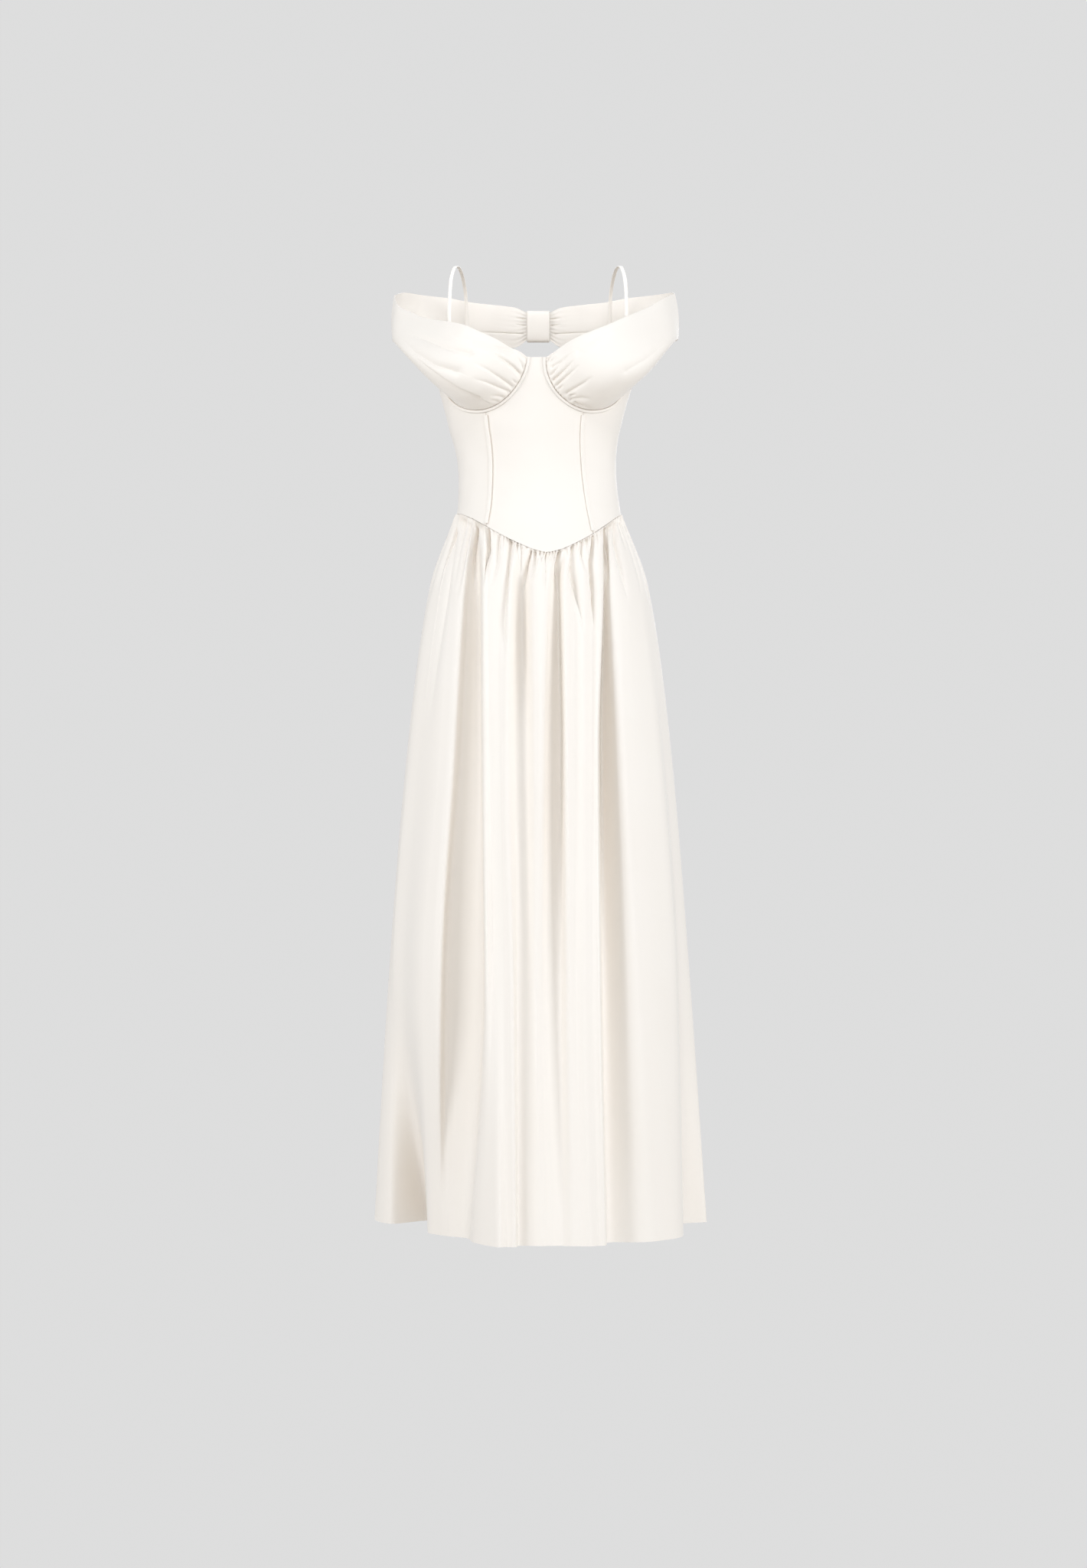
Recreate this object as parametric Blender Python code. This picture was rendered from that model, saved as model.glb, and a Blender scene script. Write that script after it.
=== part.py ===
"""Off-shoulder dress to the floor: corset bodice with a pointed waist, draped cups, back band, thin straps and
a gathered skirt.

Metres, +Z up. The front faces -Y, and the wearer's left side is +X. The origin is the middle of the
natural waist, where the body inside holds the dress. The dress keeps the hollow form that it has when worn.
"""

import math

import bmesh
import bpy
import numpy as np

# Driving sizes

SEAM_GAP = 0.0003
BODICE_THICKNESS = 0.0016
SKIRT_THICKNESS = 0.0014
DRAPE_THICKNESS = 0.0016

HEM_HEIGHT = -1.105
SKIRT_FULL_HEIGHT = -0.25  # below this the small gathers have gone and only the large folds are left

WAIST_POINT_TURN = 5.0  # the pointed waist is worn a little towards the wearer's left
SIDE_SEAM_TOP = 0.137
BACK_TOP = 0.128

PRINCESS_TURN_TOP = 33.0
PRINCESS_TURN_LOW = 37.5  # on a corner of the waist seam
BONING_WIDTH = 0.0062
BONING_THICKNESS = 0.0012
BONING_END_GAP = 0.004

WIRE_TURN = 37.5  # the middle of a cup seam, as a turn round the body
WIRE_TURN_INNER = 34.1
WIRE_TURN_OUTER = 42.0
WIRE_TOP = 0.165
WIRE_DEPTH = 0.078
WIRE_SWEEP = 150.0
CHANNEL_WIDTH = 0.0042
CHANNEL_THICKNESS = 0.0030

CUP_FULLNESS = 0.030  # how far the cloth over the breast stands off its straight line from edge to edge
CUP_FULLNESS_WAY = (0.15, -1.0, -0.12)  # with x outwards
CUP_FULLNESS_REACH = 0.6  # below 1 sets the fullest place nearer to the cup seam than to the shoulder
CUP_FULLNESS_SPREAD = 0.8  # below 1 spreads it over the cup's height
SHOULDER_Y = 0.012
SHOULDER_CROWN = 0.003

LOOP_CENTRE = (0.0, 0.101, 0.2400)
LOOP_HALF_WIDTH = 0.017
LOOP_HALF_HEIGHT = 0.0238
LOOP_HALF_DEPTH = 0.0068
LOOP_THICKNESS = 0.0015
LOOP_CORNERS = 24
LOOP_ROUNDNESS = 0.45  # 1 is an ellipse and 0 a rectangle

STRAP_WIDTH = 0.0052
STRAP_THICKNESS = 0.0014
STRAP_STEPS = 30
STRAP_TUCK = (0.012, 0.004)  # depths of a strap's front end below the neck edge
STRAP_EASE_FRONT = 0.0032  # between a strap's ends and the cloth that they lie against
STRAP_EASE_BACK = 0.0006

# Body of the bodice: half width, front depth, back depth and sideways lean of its outer face at each height
TORSO = {
    "height": (-0.125, -0.080, -0.045, -0.022, 0.001, 0.023, 0.045, 0.072, 0.108, 0.136, 0.165, 0.200),
    "half_width": (0.138, 0.128, 0.1203, 0.118, 0.1169, 0.1175, 0.1204, 0.1268, 0.1359, 0.1437, 0.149, 0.152),
    "front": (0.106, 0.099, 0.092, 0.089, 0.088, 0.089, 0.091, 0.095, 0.100, 0.104, 0.106, 0.107),
    "back": (0.104, 0.096, 0.087, 0.083, 0.081, 0.082, 0.084, 0.088, 0.092, 0.095, 0.096, 0.097),
    "lean": (0.0015, 0.0015, 0.001, 0.000, -0.001, -0.002, -0.0035, -0.005, -0.005, -0.004, -0.002, 0.0),
}

# Waist seam: its height by the turn from its point, and the plain seam across the back
WAIST_SEAM = {
    "turn_from_point": (0.0, 9.0, 18.0, 31.0, 45.0, 60.0, 75.0, 85.0),
    "height": (-0.118, -0.1125, -0.1035, -0.0895, -0.0745, -0.0625, -0.0560, -0.0540),
}
BACK_SEAM_DIP = 0.008

# Skirt: half width, front depth, back depth and sideways lean of the outline that its fold crests touch
SKIRT = {
    "height": (-0.16, -0.40, -0.75, HEM_HEIGHT),
    "half_width": (0.1615, 0.1950, 0.2245, 0.2500),
    "front": (0.119, 0.157, 0.193, 0.229),
    "back": (0.122, 0.150, 0.178, 0.205),
    "lean": (0.0015, 0.002, 0.002, 0.0025),
}

# A row for each crest or valley of the skirt's large folds: its share of the panel's width from the panel's
# first side seam, then at each of the four heights of SKIRT (hip, thigh, knee, hem) its turn round the body in
# degrees, 0 at the front and growing towards +X, and how far the cloth lies inside the outline there
FRONT_FOLDS = (
    (0.000, -90.0, 0.000, -91.0, 0.000, -94.0, 0.000, -103.0, -0.004),
    (0.045, -78.0, 0.000, -79.0, 0.000, -82.0, 0.005, -90.5, 0.029),
    (0.095, -65.0, 0.004, -65.0, 0.010, -68.0, 0.026, -104.0, 0.078),
    (0.170, -43.4, 0.000, -41.7, 0.000, -46.0, 0.000, -58.4, 0.059),
    (0.240, -35.3, 0.016, -30.1, 0.040, -26.2, 0.044, -33.0, 0.046),
    (0.330, -25.2, 0.000, -18.0, 0.000, -14.3, 0.000, -14.5, 0.000),
    (0.390, -18.0, 0.006, -14.0, 0.003, -11.0, 0.002, -10.0, 0.002),
    (0.430, -12.7, 0.000, -10.5, 0.001, -8.5, 0.004, -7.0, 0.007),
    (0.467, -7.9, 0.009, -5.8, 0.021, -4.5, 0.019, -3.0, 0.017),
    (0.520, 1.2, 0.000, 1.0, 0.002, 0.0, 0.012, 1.5, 0.014),
    (0.580, 9.9, 0.010, 7.4, 0.023, 4.5, 0.018, 6.0, 0.014),
    (0.625, 14.7, 0.000, 13.5, 0.000, 11.0, 0.004, 11.0, 0.007),
    (0.655, 18.8, 0.005, 17.0, 0.002, 14.5, 0.001, 14.5, 0.002),
    (0.690, 24.4, 0.000, 20.5, 0.000, 18.0, 0.000, 18.2, 0.000),
    (0.720, 29.2, 0.007, 24.0, 0.003, 22.0, 0.001, 22.0, 0.003),
    (0.745, 33.4, 0.000, 27.0, 0.000, 25.5, 0.000, 25.5, 0.004),
    (0.785, 38.7, 0.016, 32.5, 0.040, 32.0, 0.040, 31.5, 0.031),
    (0.840, 54.9, 0.000, 50.5, 0.000, 49.6, 0.000, 45.0, 0.000),
    (0.885, 63.0, 0.003, 62.0, 0.002, 62.0, 0.002, 57.0, 0.004),
    (0.940, 75.0, 0.003, 75.0, 0.006, 77.0, 0.016, 87.0, 0.044),
    (1.000, 90.0, 0.000, 91.0, 0.000, 93.0, 0.000, 96.0, 0.000),
)
BACK_FOLDS = (
    (0.070, 103.0, 0.005, 105.0, 0.012, 106.0, 0.022, 107.0, 0.036),
    (0.135, 114.0, 0.000, 117.0, 0.000, 119.0, 0.000, 121.0, 0.000),
    (0.200, 126.0, 0.010, 129.0, 0.022, 131.0, 0.030, 132.0, 0.036),
    (0.265, 138.0, 0.000, 140.0, 0.000, 142.0, 0.000, 143.0, 0.000),
    (0.330, 149.0, 0.012, 152.0, 0.030, 154.0, 0.038, 154.0, 0.042),
    (0.400, 160.0, 0.000, 162.0, 0.000, 163.0, 0.000, 164.0, 0.000),
    (0.460, 171.0, 0.009, 171.0, 0.018, 172.0, 0.022, 172.0, 0.026),
    (0.515, 182.0, 0.000, 181.0, 0.000, 180.0, 0.000, 181.0, 0.000),
    (0.580, 193.0, 0.012, 191.0, 0.028, 189.0, 0.034, 190.0, 0.038),
    (0.645, 204.0, 0.000, 202.0, 0.000, 201.0, 0.000, 201.0, 0.000),
    (0.710, 215.0, 0.010, 212.0, 0.024, 211.0, 0.030, 211.0, 0.034),
    (0.775, 226.0, 0.000, 224.0, 0.000, 223.0, 0.000, 222.0, 0.000),
    (0.840, 238.0, 0.009, 236.0, 0.020, 234.0, 0.028, 233.0, 0.036),
    (0.905, 249.0, 0.000, 248.0, 0.000, 245.0, 0.000, 243.0, 0.000),
    (0.955, 260.0, 0.004, 260.0, 0.008, 257.0, 0.014, 254.0, 0.028),
)
SKIRT_COLUMNS = 96  # across one panel at the waist, three for each small gather
GATHER_COLUMNS = 3
GATHER_FORM = (0.0, 1.0, 0.75)
GATHER_HEIGHT = 0.0024
GATHER_LONGEST = 0.13
GATHER_SHORTEST = 0.05
GATHER_AT_SEAM = 0.55  # share of its height that a gather has in the seam itself
GATHER_SWELLS_IN = 0.02
GATHER_VALLEY_LOSS = 2.5  # how fast the gathers go flat inside a tight valley
UPPER_SHARES = (0.0, 0.05, 0.13, 0.27, 0.50, 0.75, 1.0)
LOWER_HEIGHTS = (-0.33, -0.42, -0.52, -0.62, -0.72, -0.82, -0.92, -1.02, HEM_HEIGHT)

# Draped cups, with x measured outwards: top edge (neckline) and low edge (under the arm), from the cup seam out
NECK_EDGE = {
    "left": (
        (0.0307, -0.1100, 0.1773),
        (0.0476, -0.1170, 0.1875),
        (0.0630, -0.1195, 0.1948),
        (0.0818, -0.1185, 0.2027),
        (0.1019, -0.1120, 0.2113),
        (0.1259, -0.0960, 0.2242),
        (0.1577, -0.0660, 0.2417),
        (0.1826, -0.0360, 0.2595),
        (0.2034, SHOULDER_Y, 0.2760),
    ),
    "right": (
        (0.0261, -0.1080, 0.1729),
        (0.0432, -0.1155, 0.1802),
        (0.0586, -0.1195, 0.1886),
        (0.0788, -0.1190, 0.1977),
        (0.1053, -0.1120, 0.2103),
        (0.1278, -0.0980, 0.2172),
        (0.1598, -0.0720, 0.2257),
        (0.1845, -0.0450, 0.2390),
        (0.2070, -0.0180, 0.2535),
        (0.2140, SHOULDER_Y, 0.2730),
    ),
}
ARM_EDGE = {
    "left": (
        (0.1466, -0.0400, 0.1411),
        (0.1665, -0.0470, 0.1571),
        (0.1894, -0.0390, 0.1840),
        (0.2040, -0.0140, 0.2030),
        (0.2085, SHOULDER_Y, 0.2080),
    ),
    "right": (
        (0.1539, -0.0400, 0.1389),
        (0.1700, -0.0460, 0.1523),
        (0.1928, -0.0390, 0.1772),
        (0.2120, -0.0140, 0.1985),
        (0.2165, SHOULDER_Y, 0.2045),
    ),
}
# A row for each long fold of a cup: its place down the cup seam, down the shoulder seam, and its depth
CUP_FOLDS = {
    "left": ((0.10, 0.16, 0.0016), (0.24, 0.36, 0.0020), (0.36, 0.55, 0.0018), (0.50, 0.74, 0.0014)),
    "right": (
        (0.07, 0.10, 0.0022),
        (0.17, 0.26, 0.0030),
        (0.28, 0.42, 0.0028),
        (0.40, 0.58, 0.0030),
        (0.54, 0.76, 0.0034),
    ),
}
CUP_FOLD_WAY = (0.3, -1.0, -0.2)
CUP_FOLD_WIDTH = 0.045  # as a share of the cup's height
CUP_COLUMNS = 42
CUP_GATHERED_SHARE = 0.70
CUP_GATHER_HEIGHT = 0.0013
CUP_FINE_SHARES = (0.0, 0.035, 0.085, 0.16, 0.26)
CUP_PLAIN_SHARES = (0.36, 0.46, 0.55, 0.64, 0.73, 0.81, 0.88, 0.95, 1.0)

# Back band, with x measured outwards: from the shoulder seam to the middle of the back
BACK_BAND = {
    "x": (0.2085, 0.2010, 0.1740, 0.1340, 0.1030, 0.0725, 0.0360, 0.0165, 0.0003),
    "y": (SHOULDER_Y, 0.0450, 0.0780, 0.0940, 0.0990, 0.1015, 0.1020, 0.1010, 0.1010),
    "top": (0.2745, 0.2825, 0.2838, 0.2816, 0.2764, 0.2734, 0.2690, 0.2611, 0.2611),
    "low": (0.2080, 0.2090, 0.2120, 0.2140, 0.2125, 0.2105, 0.2082, 0.2190, 0.2190),
}
BAND_COLUMNS = 12
BAND_PLACES = (*np.linspace(0, 0.86, 15), 0.91, 0.955, 1.0)  # closer together in the loop
BAND_CREASE = 0.62  # down from the top edge
BAND_CREASE_DEPTH = 0.0030
BAND_CREASE_SHARPNESS = 16
BAND_CREASE_HALF_WIDTH = 0.22
BAND_CREASE_REACH = (0.017, 0.047, 0.090, 0.150)  # its x: starts, full, full, gone

# Strap, with x measured outwards: the middle and the half size of its arch over the shoulder
STRAP_ARCH_CENTRE = (0.1180, -0.0075, 0.2500)
STRAP_ARCH_HALF = (0.0105, 0.0765, 0.0616)
STRAP_REAR_DROP = (0.1072, 0.0690, 0.2050)
STRAP_BACK_TURN = 131.0
STRAP_BACK_LEVELS = (0.018, -0.002, -0.014)  # from the back's top edge

IVORY = (0.93, 0.905, 0.86, 1.0)
SHARP_EDGE = math.radians(50)


# Curves and tables


def smooth(at, values, where):
    """Values at where of a smooth curve, with no overshoot, through a table's points."""
    at = np.asarray(at, float)
    values = np.asarray(values, float).reshape(len(at), -1)
    where = np.asarray(where, float)
    if at[0] > at[-1]:
        at, values = at[::-1], values[::-1]
    step = np.diff(at)[:, None]
    rise = np.diff(values, axis=0) / step
    slope = np.zeros_like(values)
    together = rise[:-1] * rise[1:]
    total = rise[:-1] + rise[1:]
    slope[1:-1] = np.where(together > 0, 2 * together / np.where(total == 0, 1, total), 0)
    slope[0], slope[-1] = rise[0], rise[-1]
    i = np.clip(np.searchsorted(at, where, side="right") - 1, 0, len(at) - 2)
    width = step[i]
    t = np.clip((where - at[i])[..., None] / width, 0, 1)
    return (
        (2 * t**3 - 3 * t**2 + 1) * values[i]
        + (t**3 - 2 * t**2 + t) * width * slope[i]
        + (3 * t**2 - 2 * t**3) * values[i + 1]
        + (t**3 - t**2) * width * slope[i + 1]
    )


def flowing(at, points, where, period=None):
    """Points at where of a rounded curve through points, closed on itself if it has a period."""
    at = np.asarray(at, float)
    points = np.asarray(points, float)
    if period:
        at = np.concatenate([at[-2:] - period, at, at[:2] + period])
        points = np.concatenate([points[-2:], points, points[:2]])
    slope = np.gradient(points, at, axis=0)
    i = np.clip(np.searchsorted(at, where, side="right") - 1, 0, len(at) - 2)
    width = (at[i + 1] - at[i])[:, None]
    t = (np.asarray(where, float) - at[i])[:, None] / width
    return (
        (2 * t**3 - 3 * t**2 + 1) * points[i]
        + (t**3 - 2 * t**2 + t) * width * slope[i]
        + (3 * t**2 - 2 * t**3) * points[i + 1]
        + (t**3 - t**2) * width * slope[i + 1]
    )


def by_length(points):
    """The share of a line's length at each of its points."""
    run = np.concatenate([[0], np.cumsum(np.linalg.norm(np.diff(points, axis=0), axis=1))])
    return run / run[-1]


def unit(vectors):
    return vectors / np.linalg.norm(vectors, axis=-1, keepdims=True)


def outline(table, turn, height):
    """Point at that turn and height on the ellipse that a table of sections gives."""
    turn, height = np.broadcast_arrays(np.radians(turn), np.asarray(height, float))
    sizes = np.transpose([table[k] for k in ("half_width", "front", "back", "lean")])
    half_width, front, back, lean = np.moveaxis(smooth(table["height"], sizes, height), -1, 0)
    depth = np.where(np.cos(turn) > 0, front, back)
    return np.stack([lean + half_width * np.sin(turn), -depth * np.cos(turn), height], axis=-1)


def torso_normal(turn, height):
    """Level outward direction from the bodice at that turn and height."""
    ahead = outline(TORSO, np.asarray(turn) + 0.5, height) - outline(TORSO, np.asarray(turn) - 0.5, height)
    return unit(np.stack([-ahead[..., 1], ahead[..., 0], np.zeros_like(ahead[..., 0])], axis=-1) * -1)


# Closed walls of cloth


def strip(row, other):
    """Faces between two rows of point numbers, where the second may have half as many steps."""
    if len(row) == len(other):
        return [(row[i], row[i + 1], other[i + 1], other[i]) for i in range(len(row) - 1)]
    if len(row) < len(other):
        return [face[::-1] for face in strip(other, row)]
    faces = []
    for i in range(len(other) - 1):
        a, b, c = row[2 * i : 2 * i + 3]
        faces += [(a, b, other[i]), (b, other[i + 1], other[i]), (b, c, other[i + 1])]
    return faces


def numbered(rows, first, closed):
    """Point numbers of each row, and the number after the last."""
    found = []
    for row in rows:
        numbers = list(range(first, first + len(row)))
        first += len(row)
        found.append(numbers + numbers[:1] if closed else numbers)
    return found, first


def cloth_wall(name, outer, inner, closed=False):
    """A closed solid between the rows of its outer face and the rows of its inner face."""
    outside, count = numbered(outer, 0, closed)
    inside, count = numbered(inner, count, closed)
    faces = []
    for i in range(len(outer) - 1):
        faces += strip(outside[i], outside[i + 1])
        faces += strip(inside[i + 1], inside[i])
        if not closed:
            faces.append((outside[i][0], outside[i + 1][0], inside[i + 1][0], inside[i][0]))
            faces.append((outside[i + 1][-1], outside[i][-1], inside[i][-1], inside[i + 1][-1]))
    faces += strip(inside[0], outside[0])
    faces += strip(outside[-1], inside[-1])
    return solid(name, np.concatenate([*outer, *inner]), faces)


def solid(name, points, faces):
    mesh = bpy.data.meshes.new(name)
    mesh.from_pydata([tuple(map(float, p)) for p in points], [], [tuple(map(int, f)) for f in faces])
    shell = bmesh.new()
    shell.from_mesh(mesh)
    bmesh.ops.recalc_face_normals(shell, faces=shell.faces)
    shell.to_mesh(mesh)
    shell.free()
    mesh.materials.append(crepe(name))
    mesh.shade_smooth()
    mesh.set_sharp_from_angle(angle=SHARP_EDGE)
    obj = bpy.data.objects.new(name, mesh)
    bpy.context.scene.collection.objects.link(obj)
    return obj


def section_tube(name, centres, across, out, half_width, half_height, sides):
    """A closed tube of an oval or flat section along centres, whose section lies in the directions across and out."""
    angle = math.pi / sides + 2 * math.pi * np.arange(sides)[:, None] / sides
    stretch = 1 / math.cos(math.pi / sides)
    wide, high = half_width * stretch * np.cos(angle), half_height * stretch * np.sin(angle)
    rings = centres[:, None] + across[:, None] * wide + out[:, None] * high
    faces = []
    for i in range(len(centres) - 1):
        for k in range(sides):
            j = (k + 1) % sides
            faces.append((i * sides + k, i * sides + j, (i + 1) * sides + j, (i + 1) * sides + k))
    last = (len(centres) - 1) * sides
    faces += [tuple(range(sides))[::-1], tuple(range(last, last + sides))]
    return solid(name, rings.reshape(-1, 3), faces)


def grid_normals(grid):
    """Direction square to the cloth at each point of a grid."""
    along = np.gradient(grid, axis=1)
    down = np.gradient(grid, axis=0)
    return unit(np.cross(along, down))


# Bodice


def waist_turns():
    """Turns of the seam's corners all round, at every second column of the skirt."""
    return np.linspace(-90, 270, SKIRT_COLUMNS + 1)


def waist_height(turn):
    """Height of the waist seam, straight between its corners."""
    corners = waist_turns()
    from_point = np.abs(corners - WAIST_POINT_TURN)
    front = smooth(WAIST_SEAM["turn_from_point"], WAIST_SEAM["height"], from_point)[:, 0]
    behind = WAIST_SEAM["height"][-1] - BACK_SEAM_DIP * np.sin(np.radians(corners - 90)) ** 2
    return np.interp(turn, corners, np.where(corners > 90, behind, front))


def wire_point(side, share):
    """Turn and height on the cup seam, from the gore (0) round under the cup to the arm (1)."""
    angle = np.radians(WIRE_SWEEP * np.asarray(share, float))
    reach = np.where(angle < math.pi / 2, WIRE_TURN_INNER, WIRE_TURN_OUTER)
    return side * (WIRE_TURN - reach * np.cos(angle)), WIRE_TOP - WIRE_DEPTH * np.sin(angle)


def cup_seam(side, share):
    """Points of the cup seam on the bodice, with its direction into the cup and its outward direction."""
    share = np.asarray(share, float)
    points = outline(TORSO, *wire_point(side, share))
    small = 0.01
    along = outline(TORSO, *wire_point(side, share + small)) - outline(TORSO, *wire_point(side, share - small))
    turn, height = wire_point(side, share)
    out = torso_normal(turn, height)
    inward = unit(np.cross(out, along)) * side
    return points, inward, out


def princess_share():
    """Share of the cup seam at which the princess seam meets it."""
    shares = np.linspace(0, 1, 400)
    return shares[np.argmin(np.abs(wire_point(1, shares)[0] - PRINCESS_TURN_TOP))]


def panel(name, low, top, rows):
    """A bodice panel between its low edge and its top edge, both given as (turn, height) points."""
    shares = np.array(rows)[:, None, None]
    edge = top * (1 - shares) + low * shares
    outer = outline(TORSO, edge[..., 0], edge[..., 1])
    inner = outer - torso_normal(edge[..., 0], edge[..., 1]) * BODICE_THICKNESS
    return cloth_wall(name, list(outer), list(inner))


def trimmed(edge, start, end):
    """An edge of (turn, height) points with its first and last turn moved in for the seam gap."""
    edge = edge.copy()
    edge[0, 0] += start
    edge[-1, 0] -= end
    return edge


def make_bodice():
    half_gap = math.degrees(SEAM_GAP / 0.09) / 2
    meet = princess_share()
    arc = np.linspace(0, meet, 10)
    left_arc = np.transpose(wire_point(1, arc))
    right_arc = np.transpose(wire_point(-1, arc))[::-1]
    top = np.concatenate([right_arc, [(0.0, WIRE_TOP)], left_arc])
    turns = waist_turns()
    centre = turns[np.abs(turns) <= PRINCESS_TURN_LOW]
    low = np.transpose([centre, waist_height(centre)])
    rows = np.linspace(0, 1, 9)
    panel("bodice_centre_front", trimmed(low, half_gap, half_gap), trimmed(top, half_gap, half_gap), rows)

    for side, label in ((1, "left"), (-1, "right")):
        arc = np.linspace(meet, 1, 13)
        last_turn, last_height = wire_point(1, 1.0)
        free = [((last_turn + 90) / 2, (last_height + SIDE_SEAM_TOP) / 2 - 0.002), (90.0, SIDE_SEAM_TOP)]
        top = np.concatenate([np.transpose(wire_point(1, arc)), free])
        turn = turns[(turns >= PRINCESS_TURN_LOW) & (turns <= 90)]
        low = np.transpose([turn, waist_height(side * turn)])
        low, top = trimmed(low, half_gap, half_gap), trimmed(top, half_gap, half_gap)
        mirror = np.array([side, 1])
        panel(f"bodice_side_front_{label}", low * mirror, top * mirror, rows)

        turn = turns[(turns >= 90) & (turns <= 180)]
        low = np.transpose([turn, waist_height(turn)])
        top = np.transpose([turn, BACK_TOP + (SIDE_SEAM_TOP - BACK_TOP) * np.cos(np.radians(turn - 90)) ** 2])
        low, top = trimmed(low, half_gap, half_gap), trimmed(top, half_gap, half_gap)
        panel(f"bodice_back_{label}", low * mirror, top * mirror, np.linspace(0, 1, 8))


def make_channels():
    share = np.linspace(0, 1, 29)
    princess = np.linspace(0, 1, 12)
    meet_height = float(wire_point(1, princess_share())[1])
    for side, label in ((1, "left"), (-1, "right")):
        points, inward, out = cup_seam(side, share)
        centres = points + inward * (SEAM_GAP + CHANNEL_WIDTH / 2) - out * BODICE_THICKNESS / 2 + out * 0.0004
        section_tube(f"wire_channel_{label}", centres, inward, out, CHANNEL_WIDTH / 2, CHANNEL_THICKNESS / 2, 6)
        low_height = float(waist_height(side * PRINCESS_TURN_LOW))
        turn = side * (PRINCESS_TURN_LOW + (PRINCESS_TURN_TOP - PRINCESS_TURN_LOW) * princess)
        seam = low_height + (meet_height - low_height) * princess
        height = np.clip(seam, low_height + BONING_END_GAP, meet_height - BONING_END_GAP)
        out = torso_normal(turn, height)
        centres = outline(TORSO, turn, height) + out * (SEAM_GAP + BONING_THICKNESS / 2)
        across = unit(np.cross(np.gradient(centres, axis=0), out))
        section_tube(f"boning_channel_{label}", centres, across, out, BONING_WIDTH / 2, BONING_THICKNESS / 2, 4)


# Draped cups


def cup_base(side, label, down, out):
    """Points of a cup's cloth: down is the share from its neck edge to its low edge, out that to the shoulder."""
    points, inward, _ = cup_seam(side, down)
    seam = points + inward * (2 * SEAM_GAP + CHANNEL_WIDTH)
    mirror = np.array([side, 1, 1])
    neck = np.concatenate([seam[:1], NECK_EDGE[label] * mirror])
    arm = np.concatenate([seam[-1:], ARM_EDGE[label] * mirror])
    neck = flowing(by_length(neck), neck, out)[:, None, :]
    arm = flowing(by_length(arm), arm, out)[:, None, :]
    s, t = down[None, :, None], out[:, None, None]
    crown = SHOULDER_CROWN * np.sin(math.pi * s[0]) * (side, 0, 0)
    shoulder = neck[-1] * (1 - s[0]) + arm[-1] * s[0] + crown
    ruled = (1 - t) * seam + t * shoulder
    corners = (1 - s) * ((1 - t) * neck[0] + t * neck[-1]) + s * ((1 - t) * arm[0] + t * arm[-1])
    cloth = ruled + (1 - s) * neck + s * arm - corners
    fullness = np.sin(math.pi * s) ** CUP_FULLNESS_SPREAD * np.sin(math.pi * t**CUP_FULLNESS_REACH)
    cloth = cloth + CUP_FULLNESS * fullness * CUP_FULLNESS_WAY * mirror
    fold = np.zeros_like(s * t)
    for at_seam, at_shoulder, depth in CUP_FOLDS[label]:
        centre = at_seam + (at_shoulder - at_seam) * t
        fold = fold + depth * np.exp(-(((s - centre) / CUP_FOLD_WIDTH) ** 2)) * np.sin(math.pi * t) ** 0.5
    return cloth - fold * CUP_FOLD_WAY * mirror


def cup_normals(side, base, down):
    """Outward direction at each point of a cup: square to the bodice at its seam and level at the shoulder."""
    normals = grid_normals(base) * side
    normals[0] = cup_seam(side, down)[2]
    level_edge(normals, -1)
    return normals


def level_edge(normals, row):
    """Makes the outward directions of one row level across the shoulder seam."""
    normals[row, :, 1] = 0
    normals[row] = unit(normals[row])


def make_cups():
    out = np.array(CUP_FINE_SHARES + CUP_PLAIN_SHARES)
    down = np.linspace(0, 1, CUP_COLUMNS + 1)
    fine_rows = len(CUP_FINE_SHARES)
    for side, label in ((1, "left"), (-1, "right")):
        base = cup_base(side, label, down, out)
        normals = cup_normals(side, base, down)
        form = np.array([GATHER_FORM[k % GATHER_COLUMNS] for k in range(CUP_COLUMNS + 1)])
        form = form * (down < CUP_GATHERED_SHARE) * np.clip((1 - out / CUP_FINE_SHARES[-1]), 0, 1)[:, None]
        outer = base + normals * (form * CUP_GATHER_HEIGHT)[..., None]
        inner = (base - normals * DRAPE_THICKNESS)[:, ::2]
        rows = list(outer[:fine_rows]) + list(outer[fine_rows:, ::2])
        cloth_wall(f"cup_drape_{label}", rows, list(inner))


# Back band and its loop


def band_base(side, label, along, down):
    """Points of a back band: along is the share from the shoulder seam to the middle, down that from its top."""
    table = np.transpose([BACK_BAND[k] for k in ("x", "y", "top", "low")])
    shoulder = np.abs([NECK_EDGE[label][-1], ARM_EDGE[label][-1]])
    table[0] = shoulder[0, 0], SHOULDER_Y, shoulder[0, 2], shoulder[1, 2]
    line = flowing(np.linspace(0, 1, len(table)), table, along)
    x, y, top, low = (line[:, k, None] for k in range(4))
    lean = (shoulder[1, 0] - shoulder[0, 0]) * np.clip(1 - 4 * along, 0, 1)[:, None]
    s = down[None, :]
    crown = SHOULDER_CROWN * np.sin(math.pi * s) * (1 - np.asarray(along)[:, None])
    height = top + (low - top) * s
    off = s - BAND_CREASE
    crease = np.tanh(off * BAND_CREASE_SHARPNESS) * np.exp(-((off / BAND_CREASE_HALF_WIDTH) ** 2))
    crease = BAND_CREASE_DEPTH * crease * np.interp(x, BAND_CREASE_REACH, (0, 1, 1, 0))
    points = np.stack([side * (x + lean * s + crown), y + 0 * s - crease, height], axis=-1)
    points[0, :, 1] = SHOULDER_Y + SEAM_GAP
    return points


def make_back_bands():
    along = np.array(BAND_PLACES)
    down = np.linspace(0, 1, BAND_COLUMNS + 1)
    for side, label in ((1, "left"), (-1, "right")):
        base = band_base(side, label, along, down)
        normals = grid_normals(base) * side
        level_edge(normals, 0)
        inner = base - normals * DRAPE_THICKNESS
        cloth_wall(f"back_band_{label}", list(base), list(inner))


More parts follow.
